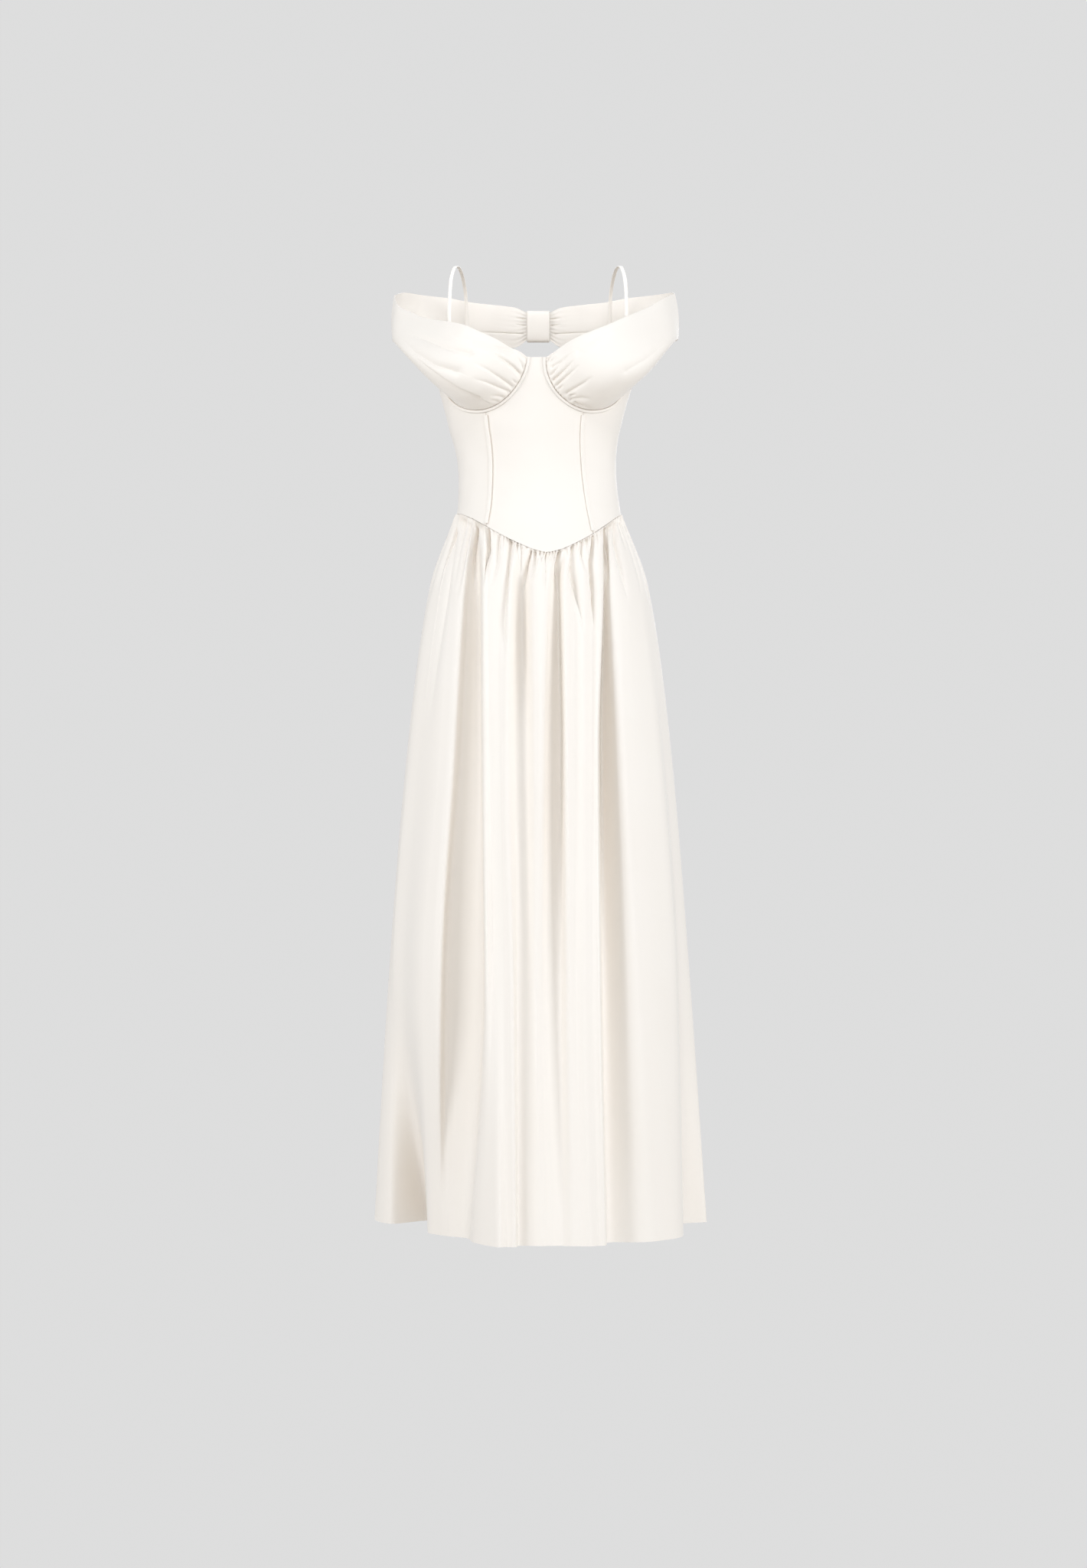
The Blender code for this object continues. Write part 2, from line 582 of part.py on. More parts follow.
def make_back_loop():
    """The upright keeper round the two band ends: a flat ring of cloth whose section is a rounded oblong."""
    angle = np.linspace(0, 2 * math.pi, LOOP_CORNERS + 1)[:-1]
    across = np.sign(np.cos(angle)) * np.abs(np.cos(angle)) ** LOOP_ROUNDNESS
    up = np.sign(np.sin(angle)) * np.abs(np.sin(angle)) ** LOOP_ROUNDNESS

    def ring(x, less):
        y = LOOP_CENTRE[1] + (LOOP_HALF_DEPTH - less) * across
        z = LOOP_CENTRE[2] + (LOOP_HALF_HEIGHT - less) * up
        return np.stack([np.full_like(y, x), y, z], axis=-1)

    places = np.linspace(-LOOP_HALF_WIDTH, LOOP_HALF_WIDTH, 5)
    outer = [ring(x, 0.0) for x in places]
    inner = [ring(x, LOOP_THICKNESS) for x in places]
    cloth_wall("back_loop", outer, inner, closed=True)


# Straps


def strap_route(side, label):
    """Points of a strap's middle line, from inside the cup to inside the back, and the way of its width at each."""
    seat = SEAM_GAP + STRAP_THICKNESS / 2
    down = np.linspace(0, 1, 41)
    cup = cup_base(side, label, down, np.linspace(0, 1, 81))
    normals = cup_normals(side, cup, down)
    neck = int(np.argmin(np.abs(np.abs(cup[:, 0, 0]) - STRAP_ARCH_CENTRE[0] - STRAP_ARCH_HALF[0])))
    front, across_front = [], []
    for drop in STRAP_TUCK:
        target = cup[neck, 0] - (0, 0, drop)
        i, k = np.unravel_index(np.argmin(np.linalg.norm((cup - target)[..., ::2], axis=-1)), cup.shape[:2])
        front.append(cup[i, k] - normals[i, k] * (DRAPE_THICKNESS + seat + STRAP_EASE_FRONT))
        across_front.append((-normals[i, k, 1], normals[i, k, 0], 0.0))
    turn = side * STRAP_BACK_TURN
    behind = torso_normal(turn, BACK_TOP)
    inside = BODICE_THICKNESS + seat + STRAP_EASE_BACK
    back = [outline(TORSO, turn, BACK_TOP + level) - behind * inside for level in STRAP_BACK_LEVELS]
    angle = np.radians(np.linspace(0, 180, 7))
    round_arch = np.transpose([np.cos(angle), -np.cos(angle), np.sin(angle)])
    arch = np.array(STRAP_ARCH_CENTRE) + round_arch * STRAP_ARCH_HALF
    middle = np.concatenate([arch, [STRAP_REAR_DROP]]) * (side, 1, 1)
    points = np.concatenate([front, middle, back])
    across_back = (behind[1], -behind[0], 0.0)
    sideways = np.array(across_front + [(1.0, 0.0, 0.0)] * len(arch) + [across_back] * (len(back) + 1))
    return points, sideways


def make_straps():
    for side, label in ((1, "left"), (-1, "right")):
        route, sideways = strap_route(side, label)
        place, where = by_length(route), np.linspace(0, 1, STRAP_STEPS + 1)
        line = flowing(place, route, where)
        along = unit(np.gradient(line, axis=0))
        sideways = unit(smooth(place, sideways, where))
        across = unit(sideways - along * np.sum(along * sideways, axis=1)[:, None])
        out = np.cross(along, across)
        section_tube(f"strap_{label}", line, across, out, STRAP_WIDTH / 2, STRAP_THICKNESS / 2, 4)


# Skirt


def skirt_loops(shares):
    """Points of the folded skirt at the waist seam and at each height of SKIRT, for shares 0 to 2 all round."""
    rows = [*FRONT_FOLDS, *((r[0] + 1, *r[1:]) for r in BACK_FOLDS)]
    table = np.array(rows)
    loops = []
    for level, height in enumerate(SKIRT["height"]):
        turn, inset = table[:, 1 + 2 * level], table[:, 2 + 2 * level]
        edge = outline(SKIRT, turn, height)
        edge[:, :2] *= (1 - inset / np.linalg.norm(edge[:, :2], axis=1))[:, None]
        loops.append(flowing(table[:, 0], edge, shares, period=2.0))
    turn = shares * 180 - 90
    top = outline(TORSO, turn, waist_height(turn) - SEAM_GAP)
    return [top, *loops]


def skirt_rows(loops, heights):
    """Points of each column at the given heights, one height for each column in each row."""
    columns = np.stack(loops, axis=1)
    rows = np.empty((len(heights), columns.shape[0], 3))
    for k, column in enumerate(columns):
        levels = -column[:, 2]
        rows[:, k] = smooth(levels, column, -heights[:, k])
    rows[:, 1::2] = (rows[:, :-1:2] + rows[:, 2::2]) / 2  # so the plain inside has only every second column
    return rows


def level_normals(rows, seam):
    """Level outward directions of a closed skirt, from each row's own run round the body."""
    ring = rows[:, :-1]
    ahead = np.roll(ring, -1, axis=1) - np.roll(ring, 1, axis=1)
    out = unit(np.stack([ahead[..., 1], -ahead[..., 0], np.zeros_like(ahead[..., 0])], axis=-1))
    out = np.concatenate([out, out[:, :1]], axis=1)
    out[0] = seam
    return out


def hollowness(out):
    """How sharply a closed skirt bends inwards at each point: 0 on a flat or a crest, down to -1 in a valley."""
    ring = out[:, :-1]
    turning = np.roll(ring, 1, axis=1)[..., 0] * np.roll(ring, -1, axis=1)[..., 1]
    turning = turning - np.roll(ring, 1, axis=1)[..., 1] * np.roll(ring, -1, axis=1)[..., 0]
    turning = np.concatenate([turning, turning[:, :1]], axis=1)
    return np.minimum(turning, 0)


def gather_relief(rows, out, count):
    """How far each point of the skirt's outer face stands out for the small gathers, no two of them alike."""
    column = np.arange(count)
    gather = column // GATHER_COLUMNS
    form = np.array(GATHER_FORM)[column % GATHER_COLUMNS]
    size = 0.5 + 0.5 * np.sin(gather * 2.4 + np.sin(gather * 1.1))
    reach = GATHER_SHORTEST + (GATHER_LONGEST - GATHER_SHORTEST) * size
    below = rows[0, :, 2] - rows[..., 2]
    swell = np.interp(below, (0, GATHER_SWELLS_IN), (GATHER_AT_SEAM, 1))
    room = np.clip(1 + GATHER_VALLEY_LOSS * hollowness(out), 0, 1)
    fade = np.clip(1 - below / reach, 0, 1)
    return GATHER_HEIGHT * (0.65 + 0.35 * size) * form * swell * room * fade


def make_skirt():
    shares = np.linspace(0, 2, 2 * SKIRT_COLUMNS + 1)
    loops = skirt_loops(shares)
    top = loops[0][:, 2]
    upper = [top + (SKIRT_FULL_HEIGHT - top) * s for s in UPPER_SHARES]
    lower = [np.full_like(top, h) for h in LOWER_HEIGHTS]
    rows = skirt_rows(loops, np.array(upper + lower))
    turn = shares * 180 - 90
    out = level_normals(rows, torso_normal(turn, top))
    relief = gather_relief(rows, out, len(shares))
    outer, inner = rows + out * relief[..., None], rows - out * SKIRT_THICKNESS
    fine = len(UPPER_SHARES)
    for first, name in ((0, "skirt_front"), (SKIRT_COLUMNS, "skirt_back")):
        part = slice(first, first + SKIRT_COLUMNS + 1)
        face, lining = outer[:, part].copy(), inner[:, part].copy()
        for edge, sign in ((0, 1), (-1, -1)):
            along = np.cross(out[:, part][:, edge], (0, 0, -1))
            face[:, edge] += along * sign * SEAM_GAP * 0.6
            lining[:, edge] += along * sign * SEAM_GAP * 0.6
        outside = list(face[:fine]) + list(face[fine:, ::2])
        cloth_wall(name, outside, list(lining[:, ::2]))


def clear_scene():
    for obj in list(bpy.data.objects):
        bpy.data.objects.remove(obj)


def crepe(name):
    """The ivory crepe of one piece."""
    material = bpy.data.materials.new(f"ivory_crepe_{name}")
    material.use_nodes = True
    shader = material.node_tree.nodes["Principled BSDF"]
    shader.inputs["Base Color"].default_value = IVORY
    shader.inputs["Roughness"].default_value = 0.55
    shader.inputs["Metallic"].default_value = 0.0
    return material


def main():
    clear_scene()
    make_bodice()
    make_channels()
    make_cups()
    make_back_bands()
    make_back_loop()
    make_straps()
    make_skirt()


main()
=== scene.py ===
"""Looks of the off-shoulder dress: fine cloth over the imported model, with its camera and light."""

import math

import bmesh
import bpy
import numpy as np
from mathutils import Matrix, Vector


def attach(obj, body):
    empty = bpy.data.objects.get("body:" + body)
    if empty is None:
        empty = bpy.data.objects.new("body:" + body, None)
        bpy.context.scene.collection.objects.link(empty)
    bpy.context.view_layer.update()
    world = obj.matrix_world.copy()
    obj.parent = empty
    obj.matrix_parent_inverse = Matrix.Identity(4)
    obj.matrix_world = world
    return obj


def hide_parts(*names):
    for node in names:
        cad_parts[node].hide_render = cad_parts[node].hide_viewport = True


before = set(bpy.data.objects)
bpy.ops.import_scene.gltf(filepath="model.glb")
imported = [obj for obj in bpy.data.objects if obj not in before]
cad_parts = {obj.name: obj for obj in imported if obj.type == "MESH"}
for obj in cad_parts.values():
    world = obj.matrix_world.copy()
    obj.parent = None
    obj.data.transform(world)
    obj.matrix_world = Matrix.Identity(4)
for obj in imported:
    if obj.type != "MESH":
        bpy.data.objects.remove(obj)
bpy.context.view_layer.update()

# Sizes of the dress, as in its model

SIDES = ((1, "left"), (-1, "right"))  # the wearer's left lies along +x
SEAM_GAP = 0.0003
CLOTH = 0.0010  # thickness of one layer of crepe with its facing
BODICE_CLOTH = 0.0012
BAND_CLOTH = 0.0014
LOOP_CLOTH = 0.0013
BODY_RADIUS = 0.09
DEGREE_LENGTH = 0.0018  # length on the bodice of one degree of turn
SEAM_SINK = (0.0005, 0.0010)  # how deep a panel dips at its side seams, and within what reach
BODICE_RIPPLE = 0.00035
HEM_HEIGHT = -1.105
WAIST_POINT_TURN = 5.0
SIDE_SEAM_TOP = 0.137
BACK_TOP = 0.128
PRINCESS_TURN_TOP = 33.0
PRINCESS_TURN_LOW = 37.5
WIRE_TURN = 37.5
WIRE_TURN_INNER = 34.1
WIRE_TURN_OUTER = 42.0
WIRE_TOP = 0.165
WIRE_DEPTH = 0.078
WIRE_SWEEP = 150.0
CHANNEL_WIDTH = 0.0042
CHANNEL_RISE = 0.0006  # from the bodice's face to the middle of the wire channel
CHANNEL_HALF_HEIGHT = 0.0016
CHANNEL_STITCH_RISE = 0.0015
BONING_RISE = {"left": 0.0010, "right": 0.0017}  # half the height of each boning channel
BONING_STITCH_SHARE = 0.85
BONING_WIDTH = 0.0062
BONING_END_GAP = 0.004
CUP_FULLNESS = 0.030
CUP_FULLNESS_WAY = (0.15, -1.0, -0.12)
CUP_FULLNESS_REACH = 0.6
CUP_FULLNESS_SPREAD = 0.8
CUP_PUCKER = (0.0004, 0.012)  # height of the tiny gathers at the cup seam, and their reach from it
SHOULDER_Y = 0.012
SHOULDER_CROWN = 0.003
LOOP_CENTRE = (0.0, 0.101, 0.2400)
LOOP_HALF_WIDTH = 0.017
LOOP_HALF_HEIGHT = 0.0238
LOOP_HALF_DEPTH = 0.0068
LOOP_ROUNDNESS = 0.45
LOOP_EDGE = 0.0006  # how far the loop's ends are rounded off
LOOP_WAIST = 0.0004  # how far the loop is drawn in at its middle
BAND_PLEATS = 0.0005  # height of the fine pleats beside the loop
BAND_SLACK = 0.0006
STRAP_WIDTH = 0.0052
STRAP_THICKNESS = 0.0014
STRAP_ARCH_CENTRE = (0.1180, -0.0075, 0.2500)
STRAP_ARCH_HALF = (0.0105, 0.0765, 0.0616)
STRAP_REAR_DROP = (0.1072, 0.0690, 0.2050)
STRAP_BACK_TURN = 131.0
STRAP_BACK_LEVELS = (0.018, -0.002, -0.014)
STRAP_TUCK = (0.012, 0.004)
STRAP_FRONT_DEPTH = 0.0058  # from the cup's face to the middle of the strap behind it
STRAP_BACK_DEPTH = 0.0032

# Body of the bodice: half width, front depth, back depth and sideways lean of its outer face at each height
TORSO = {
    "height": (-0.125, -0.080, -0.045, -0.022, 0.001, 0.023, 0.045, 0.072, 0.108, 0.136, 0.165, 0.200),
    "half_width": (0.138, 0.128, 0.1203, 0.118, 0.1169, 0.1175, 0.1204, 0.1268, 0.1359, 0.1437, 0.149, 0.152),
    "front": (0.106, 0.099, 0.092, 0.089, 0.088, 0.089, 0.091, 0.095, 0.100, 0.104, 0.106, 0.107),
    "back": (0.104, 0.096, 0.087, 0.083, 0.081, 0.082, 0.084, 0.088, 0.092, 0.095, 0.096, 0.097),
    "lean": (0.0015, 0.0015, 0.001, 0.000, -0.001, -0.002, -0.0035, -0.005, -0.005, -0.004, -0.002, 0.0),
}
WAIST_SEAM = {
    "turn_from_point": (0.0, 9.0, 18.0, 31.0, 45.0, 60.0, 75.0, 85.0),
    "height": (-0.118, -0.1125, -0.1035, -0.0895, -0.0745, -0.0625, -0.0560, -0.0540),
}
BACK_SEAM_DIP = 0.008
SKIRT = {
    "height": (-0.16, -0.40, -0.75, HEM_HEIGHT),
    "half_width": (0.1615, 0.1950, 0.2245, 0.2500),
    "front": (0.119, 0.157, 0.193, 0.229),
    "back": (0.122, 0.150, 0.178, 0.205),
    "lean": (0.0015, 0.002, 0.002, 0.0025),
}

# Large folds of the skirt at each side of the front. A row for each crest or valley: its share of the panel's
# width, then at hip, thigh, knee and hem its turn round the body and how far the cloth lies inside the
# outline
SIDE_FOLDS_RIGHT = (
    (0.000, -90.0, 0.000, -91.0, 0.000, -94.0, 0.000, -103.0, -0.004),
    (0.045, -78.0, 0.000, -79.0, 0.000, -82.0, 0.005, -90.5, 0.029),
    (0.095, -65.0, 0.002, -67.0, 0.005, -70.0, 0.012, -104.0, 0.078),
)
SIDE_FOLDS_LEFT = (
    (0.885, 63.0, 0.003, 62.0, 0.002, 62.0, 0.002, 57.0, 0.004),
    (0.940, 75.0, 0.003, 75.0, 0.006, 77.0, 0.016, 87.0, 0.044),
    (1.000, 90.0, 0.000, 91.0, 0.000, 93.0, 0.000, 96.0, 0.000),
)
# Large folds of the middle of the front, read off the front: share, then at hip, thigh, knee and hem the
# place across and how far the cloth lies behind the outline
MIDDLE_FOLDS = (
    (0.170, -0.125, 0.000, -0.140, 0.000, -0.165, 0.000, -0.159, 0.084),
    (0.205, -0.108, 0.001, -0.121, 0.002, -0.140, 0.002, -0.143, 0.076),
    (0.230, -0.099, 0.014, -0.110, 0.021, -0.130, 0.028, -0.130, 0.071),
    (0.258, -0.085, 0.022, -0.083, 0.034, -0.079, 0.041, -0.100, 0.063),
    (0.278, -0.081, 0.001, -0.080, 0.003, -0.076, 0.003, -0.093, 0.032),
    (0.310, -0.072, 0.000, -0.068, 0.000, -0.064, 0.000, -0.064, 0.000),
    (0.365, -0.056, 0.001, -0.054, 0.000, -0.048, 0.000, -0.044, 0.001),
    (0.420, -0.038, 0.000, -0.041, 0.000, -0.034, 0.000, -0.030, 0.002),
    (0.448, -0.029, 0.012, -0.030, 0.012, -0.029, 0.013, -0.027, 0.013),
    (0.480, -0.018, 0.013, -0.017, 0.014, -0.016, 0.015, -0.012, 0.014),
    (0.510, -0.006, 0.000, -0.005, 0.001, -0.004, 0.011, 0.005, 0.012),
    (0.542, 0.013, 0.000, 0.008, 0.001, 0.006, 0.014, 0.015, 0.013),
    (0.565, 0.021, 0.007, 0.016, 0.016, 0.014, 0.018, 0.022, 0.013),
    (0.588, 0.030, 0.013, 0.033, 0.023, 0.031, 0.021, 0.034, 0.013),
    (0.610, 0.037, 0.000, 0.039, 0.000, 0.041, 0.005, 0.047, 0.007),
    (0.640, 0.052, 0.004, 0.053, 0.003, 0.055, 0.004, 0.062, 0.004),
    (0.675, 0.067, 0.000, 0.067, 0.000, 0.067, 0.000, 0.076, 0.000),
    (0.700, 0.078, 0.004, 0.077, 0.003, 0.077, 0.001, 0.085, 0.002),
    (0.725, 0.088, 0.000, 0.083, 0.000, 0.085, 0.000, 0.092, 0.001),
    (0.748, 0.094, 0.002, 0.087, 0.003, 0.090, 0.003, 0.097, 0.004),
    (0.772, 0.096, 0.014, 0.091, 0.040, 0.094, 0.037, 0.101, 0.028),
    (0.800, 0.105, 0.002, 0.114, 0.007, 0.130, 0.007, 0.145, 0.007),
    (0.840, 0.125, 0.000, 0.136, 0.000, 0.158, 0.000, 0.178, 0.000),
)
# Large folds of the back, which the photograph doesn't show, as for the sides of the front
BACK_FOLDS = (
    (0.070, 103.0, 0.005, 105.0, 0.012, 106.0, 0.022, 107.0, 0.036),
    (0.135, 114.0, 0.000, 117.0, 0.000, 119.0, 0.000, 121.0, 0.000),
    (0.200, 126.0, 0.010, 129.0, 0.022, 131.0, 0.030, 132.0, 0.036),
    (0.265, 138.0, 0.000, 140.0, 0.000, 142.0, 0.000, 143.0, 0.000),
    (0.330, 149.0, 0.012, 152.0, 0.030, 154.0, 0.038, 154.0, 0.042),
    (0.400, 160.0, 0.000, 162.0, 0.000, 163.0, 0.000, 164.0, 0.000),
    (0.460, 171.0, 0.009, 171.0, 0.018, 172.0, 0.022, 172.0, 0.026),
    (0.515, 182.0, 0.000, 181.0, 0.000, 180.0, 0.000, 181.0, 0.000),
    (0.580, 193.0, 0.012, 191.0, 0.028, 189.0, 0.034, 190.0, 0.038),
    (0.645, 204.0, 0.000, 202.0, 0.000, 201.0, 0.000, 201.0, 0.000),
    (0.710, 215.0, 0.010, 212.0, 0.024, 211.0, 0.030, 211.0, 0.034),
    (0.775, 226.0, 0.000, 224.0, 0.000, 223.0, 0.000, 222.0, 0.000),
    (0.840, 238.0, 0.009, 236.0, 0.020, 234.0, 0.028, 233.0, 0.036),
    (0.905, 249.0, 0.000, 248.0, 0.000, 245.0, 0.000, 243.0, 0.000),
    (0.955, 260.0, 0.004, 260.0, 0.008, 257.0, 0.014, 254.0, 0.028),
)

# Draped cups, with x measured outwards: top edge (neckline) and low edge (under the arm), from the cup
# seam out
NECK_EDGE = {
    "left": (
        (0.0307, -0.1100, 0.1773),
        (0.0476, -0.1170, 0.1875),
        (0.0630, -0.1195, 0.1948),
        (0.0818, -0.1185, 0.2027),
        (0.1019, -0.1120, 0.2113),
        (0.1259, -0.0960, 0.2242),
        (0.1577, -0.0660, 0.2417),
        (0.1826, -0.0360, 0.2595),
        (0.2034, SHOULDER_Y, 0.2760),
    ),
    "right": (
        (0.0261, -0.1080, 0.1729),
        (0.0432, -0.1155, 0.1802),
        (0.0586, -0.1195, 0.1886),
        (0.0788, -0.1190, 0.1977),
        (0.1053, -0.1120, 0.2103),
        (0.1278, -0.0980, 0.2172),
        (0.1598, -0.0720, 0.2257),
        (0.1845, -0.0450, 0.2390),
        (0.2070, -0.0180, 0.2535),
        (0.2140, SHOULDER_Y, 0.2730),
    ),
}
ARM_EDGE = {
    "left": (
        (0.1466, -0.0400, 0.1411),
        (0.1665, -0.0470, 0.1571),
        (0.1894, -0.0390, 0.1840),
        (0.2040, -0.0140, 0.2030),
        (0.2085, SHOULDER_Y, 0.2080),
    ),
    "right": (
        (0.1539, -0.0400, 0.1389),
        (0.1700, -0.0460, 0.1523),
        (0.1928, -0.0390, 0.1772),
        (0.2120, -0.0140, 0.1985),
        (0.2165, SHOULDER_Y, 0.2045),
    ),
}
BACK_BAND = {
    "x": (0.2085, 0.2010, 0.1740, 0.1340, 0.1030, 0.0725, 0.0360, 0.0165, 0.0003),
    "y": (SHOULDER_Y, 0.0450, 0.0780, 0.0940, 0.0990, 0.1015, 0.1020, 0.1010, 0.1010),
    "top": (0.2745, 0.2825, 0.2838, 0.2816, 0.2764, 0.2734, 0.2690, 0.2611, 0.2611),
    "low": (0.2080, 0.2090, 0.2120, 0.2140, 0.2125, 0.2105, 0.2082, 0.2190, 0.2190),
}

# Small folds, read off the front of the dress. Each row is a soft trough: its depth, its width on the left
# and on the right of someone who walks along it, and the points (x, z) that it runs through, deepest at the
# first. A piece's fullness is how many times deeper its troughs lie than the rows say
TROUGH_FULLNESS = 2.0
GATHER_FULLNESS = 2.4
SKIRT_TROUGHS = (
    (0.0024, 0.0090, 0.0075, ((-0.124, -0.085), (-0.132, -0.160), (-0.148, -0.271), (-0.160, -0.371))),
    (0.0026, 0.0056, 0.0056, ((-0.109, -0.068), (-0.118, -0.113), (-0.123, -0.166))),
    (0.0034, 0.0056, 0.0056, ((-0.102, -0.075), (-0.110, -0.123), (-0.118, -0.182))),
    (0.0046, 0.0033, 0.0044, ((-0.090, -0.081), (-0.091, -0.110), (-0.093, -0.166))),
    (0.0044, 0.0033, 0.0033, ((-0.073, -0.085), (-0.072, -0.116), (-0.081, -0.166))),
    (0.0020, 0.0039, 0.0044, ((-0.057, -0.093), (-0.059, -0.132), (-0.069, -0.169))),
    (0.0042, 0.0056, 0.0044, ((-0.040, -0.097), (-0.047, -0.160), (-0.051, -0.218), (-0.047, -0.271))),
    (0.0018, 0.0028, 0.0022, ((-0.030, -0.101), (-0.029, -0.132))),
    (0.0016, 0.0018, 0.0018, ((-0.023, -0.110), (-0.026, -0.151))),
    (0.0038, 0.0028, 0.0028, ((-0.009, -0.112), (-0.016, -0.138), (-0.022, -0.177))),
    (0.0030, 0.0033, 0.0022, ((-0.004, -0.117), (-0.007, -0.143), (-0.010, -0.160))),
    (0.0016, 0.0022, 0.0022, ((0.003, -0.118), (0.006, -0.136))),
    (0.0018, 0.0033, 0.0033, ((0.011, -0.118), (0.011, -0.182))),
    (0.0016, 0.0022, 0.0022, ((0.022, -0.117), (0.024, -0.132))),
    (0.0040, 0.0028, 0.0039, ((0.032, -0.116), (0.028, -0.138), (0.027, -0.177))),
    (0.0016, 0.0028, 0.0028, ((0.042, -0.112), (0.043, -0.136))),
    (0.0034, 0.0044, 0.0028, ((0.051, -0.107), (0.048, -0.146), (0.054, -0.182), (0.069, -0.238))),
    (0.0022, 0.0033, 0.0022, ((0.062, -0.102), (0.063, -0.125), (0.072, -0.151))),
    (0.0012, 0.0022, 0.0022, ((0.071, -0.098), (0.072, -0.113))),
    (0.0036, 0.0020, 0.0020, ((0.081, -0.092), (0.076, -0.132), (0.078, -0.169), (0.080, -0.232))),
    (0.0015, 0.0022, 0.0022, ((0.086, -0.090), (0.087, -0.111))),
    (0.0012, 0.0022, 0.0022, ((0.092, -0.085), (0.092, -0.098))),
    (0.0050, 0.0033, 0.0022, ((0.098, -0.081), (0.098, -0.107), (0.100, -0.166))),
    (0.0015, 0.0022, 0.0022, ((0.104, -0.078), (0.105, -0.100))),
    (0.0032, 0.0033, 0.0044, ((0.114, -0.074), (0.113, -0.099), (0.120, -0.132), (0.132, -0.188))),
    (0.0015, 0.0033, 0.0033, ((0.120, -0.071), (0.128, -0.110))),
)
CUP_TROUGHS = {
    "right": (
        (0.0012, 0.0022, 0.0022, ((-0.012, 0.160), (-0.030, 0.172))),
        (0.0016, 0.0025, 0.0025, ((-0.018, 0.142), (-0.024, 0.156), (-0.030, 0.165))),
        (0.0022, 0.0030, 0.0022, ((-0.021, 0.137), (-0.036, 0.151), (-0.051, 0.161), (-0.072, 0.173))),
        (0.0014, 0.0020, 0.0020, ((-0.028, 0.124), (-0.039, 0.133))),
        (0.0020, 0.0028, 0.0035, ((-0.032, 0.118), (-0.048, 0.129), (-0.070, 0.142), (-0.092, 0.153))),
        (0.0018, 0.0028, 0.0035, ((-0.037, 0.113), (-0.059, 0.120), (-0.076, 0.126), (-0.095, 0.131))),
        (0.0012, 0.0020, 0.0020, ((-0.040, 0.111), (-0.046, 0.115))),
        (0.0016, 0.0022, 0.0025, ((-0.046, 0.106), (-0.058, 0.108), (-0.070, 0.108))),
        (0.0014, 0.0020, 0.0020, ((-0.053, 0.100), (-0.070, 0.103))),
        (0.0010, 0.0020, 0.0020, ((-0.064, 0.095), (-0.070, 0.096))),
        (0.0020, 0.0065, 0.0080, ((-0.038, 0.172), (-0.077, 0.179), (-0.110, 0.189), (-0.131, 0.200))),
        (0.0022, 0.0060, 0.0080, ((-0.099, 0.167), (-0.131, 0.175), (-0.165, 0.193), (-0.195, 0.208))),
        (0.0024, 0.0065, 0.0090, ((-0.118, 0.140), (-0.150, 0.152), (-0.180, 0.175), (-0.200, 0.200))),
    ),
    "left": (
        (0.0014, 0.0020, 0.0020, ((0.014, 0.161), (0.027, 0.175))),
        (0.0010, 0.0018, 0.0018, ((0.018, 0.159), (0.028, 0.166))),
        (0.0012, 0.0022, 0.0022, ((0.020, 0.150), (0.031, 0.156), (0.052, 0.170))),
        (0.0016, 0.0022, 0.0022, ((0.019, 0.139), (0.032, 0.153))),
        (0.0022, 0.0026, 0.0026, ((0.021, 0.131), (0.037, 0.144), (0.052, 0.158))),
        (0.0019, 0.0026, 0.0026, ((0.027, 0.124), (0.043, 0.137), (0.060, 0.151))),
        (0.0012, 0.0020, 0.0020, ((0.031, 0.119), (0.037, 0.124))),
        (0.0020, 0.0028, 0.0030, ((0.041, 0.112), (0.066, 0.125), (0.079, 0.134))),
        (0.0022, 0.0024, 0.0024, ((0.047, 0.108), (0.056, 0.110))),
        (0.0022, 0.0026, 0.0026, ((0.047, 0.103), (0.062, 0.105), (0.077, 0.104))),
        (0.0026, 0.0030, 0.0026, ((0.054, 0.098), (0.064, 0.094), (0.080, 0.092))),
        (0.0012, 0.0060, 0.0060, ((0.060, 0.170), (0.083, 0.186), (0.110, 0.200))),
        (0.0010, 0.0070, 0.0060, ((0.128, 0.142), (0.160, 0.164), (0.190, 0.196))),
    ),
}
# Lower edge of the upper layer of the right cup, where its drape ends on the smooth strip below it
DRAPE_EDGE = (
    0.0024,
    0.0130,
    0.0016,
    ((-0.084, 0.1045), (-0.112, 0.115), (-0.136, 0.130), (-0.160, 0.149), (-0.182, 0.170)),
)
BAND_TROUGHS = (
    (0.0018, 0.0014, 0.0020, ((0.0240, 0.2290), (0.0500, 0.2302), (0.0830, 0.2315), (0.1000, 0.2325))),
    (0.0018, 0.0014, 0.0014, ((0.0180, 0.2412), (0.0360, 0.2432))),
    (0.0018, 0.0014, 0.0014, ((0.0180, 0.2510), (0.0350, 0.2530))),
)

# Gathers of the waist seam that the photograph doesn't show: first and last share, number and seed
HIDDEN_GATHERS = (
    (1.02, 1.98, 30, 0.4),
    (0.02, 0.10, 3, 1.4),
    (0.91, 0.98, 3, 2.2),
)
PANEL_SPAN = 0.39  # length round the hip of one panel of the skirt
GATHERED_DOWN_TO = -0.25  # height down to which the skirt's rows lie close together
SKIRT_COLUMNS = 520
SKIRT_PUCKER = (0.0020, 0.011)  # height of the tiny gathers at the waist seam, and their reach from it
SKIRT_PUFF = (0.0024, 0.009, 0.05)  # how far the gathers stand out, and how fast they rise and settle
FRONT_REACH = 72.0  # turn up to which the gathers seen in front are placed

# Tones of the ivory crepe
CREPE_LIGHT = (0.870, 0.822, 0.762, 1)
CREPE_DEEP = (0.855, 0.802, 0.738, 1)

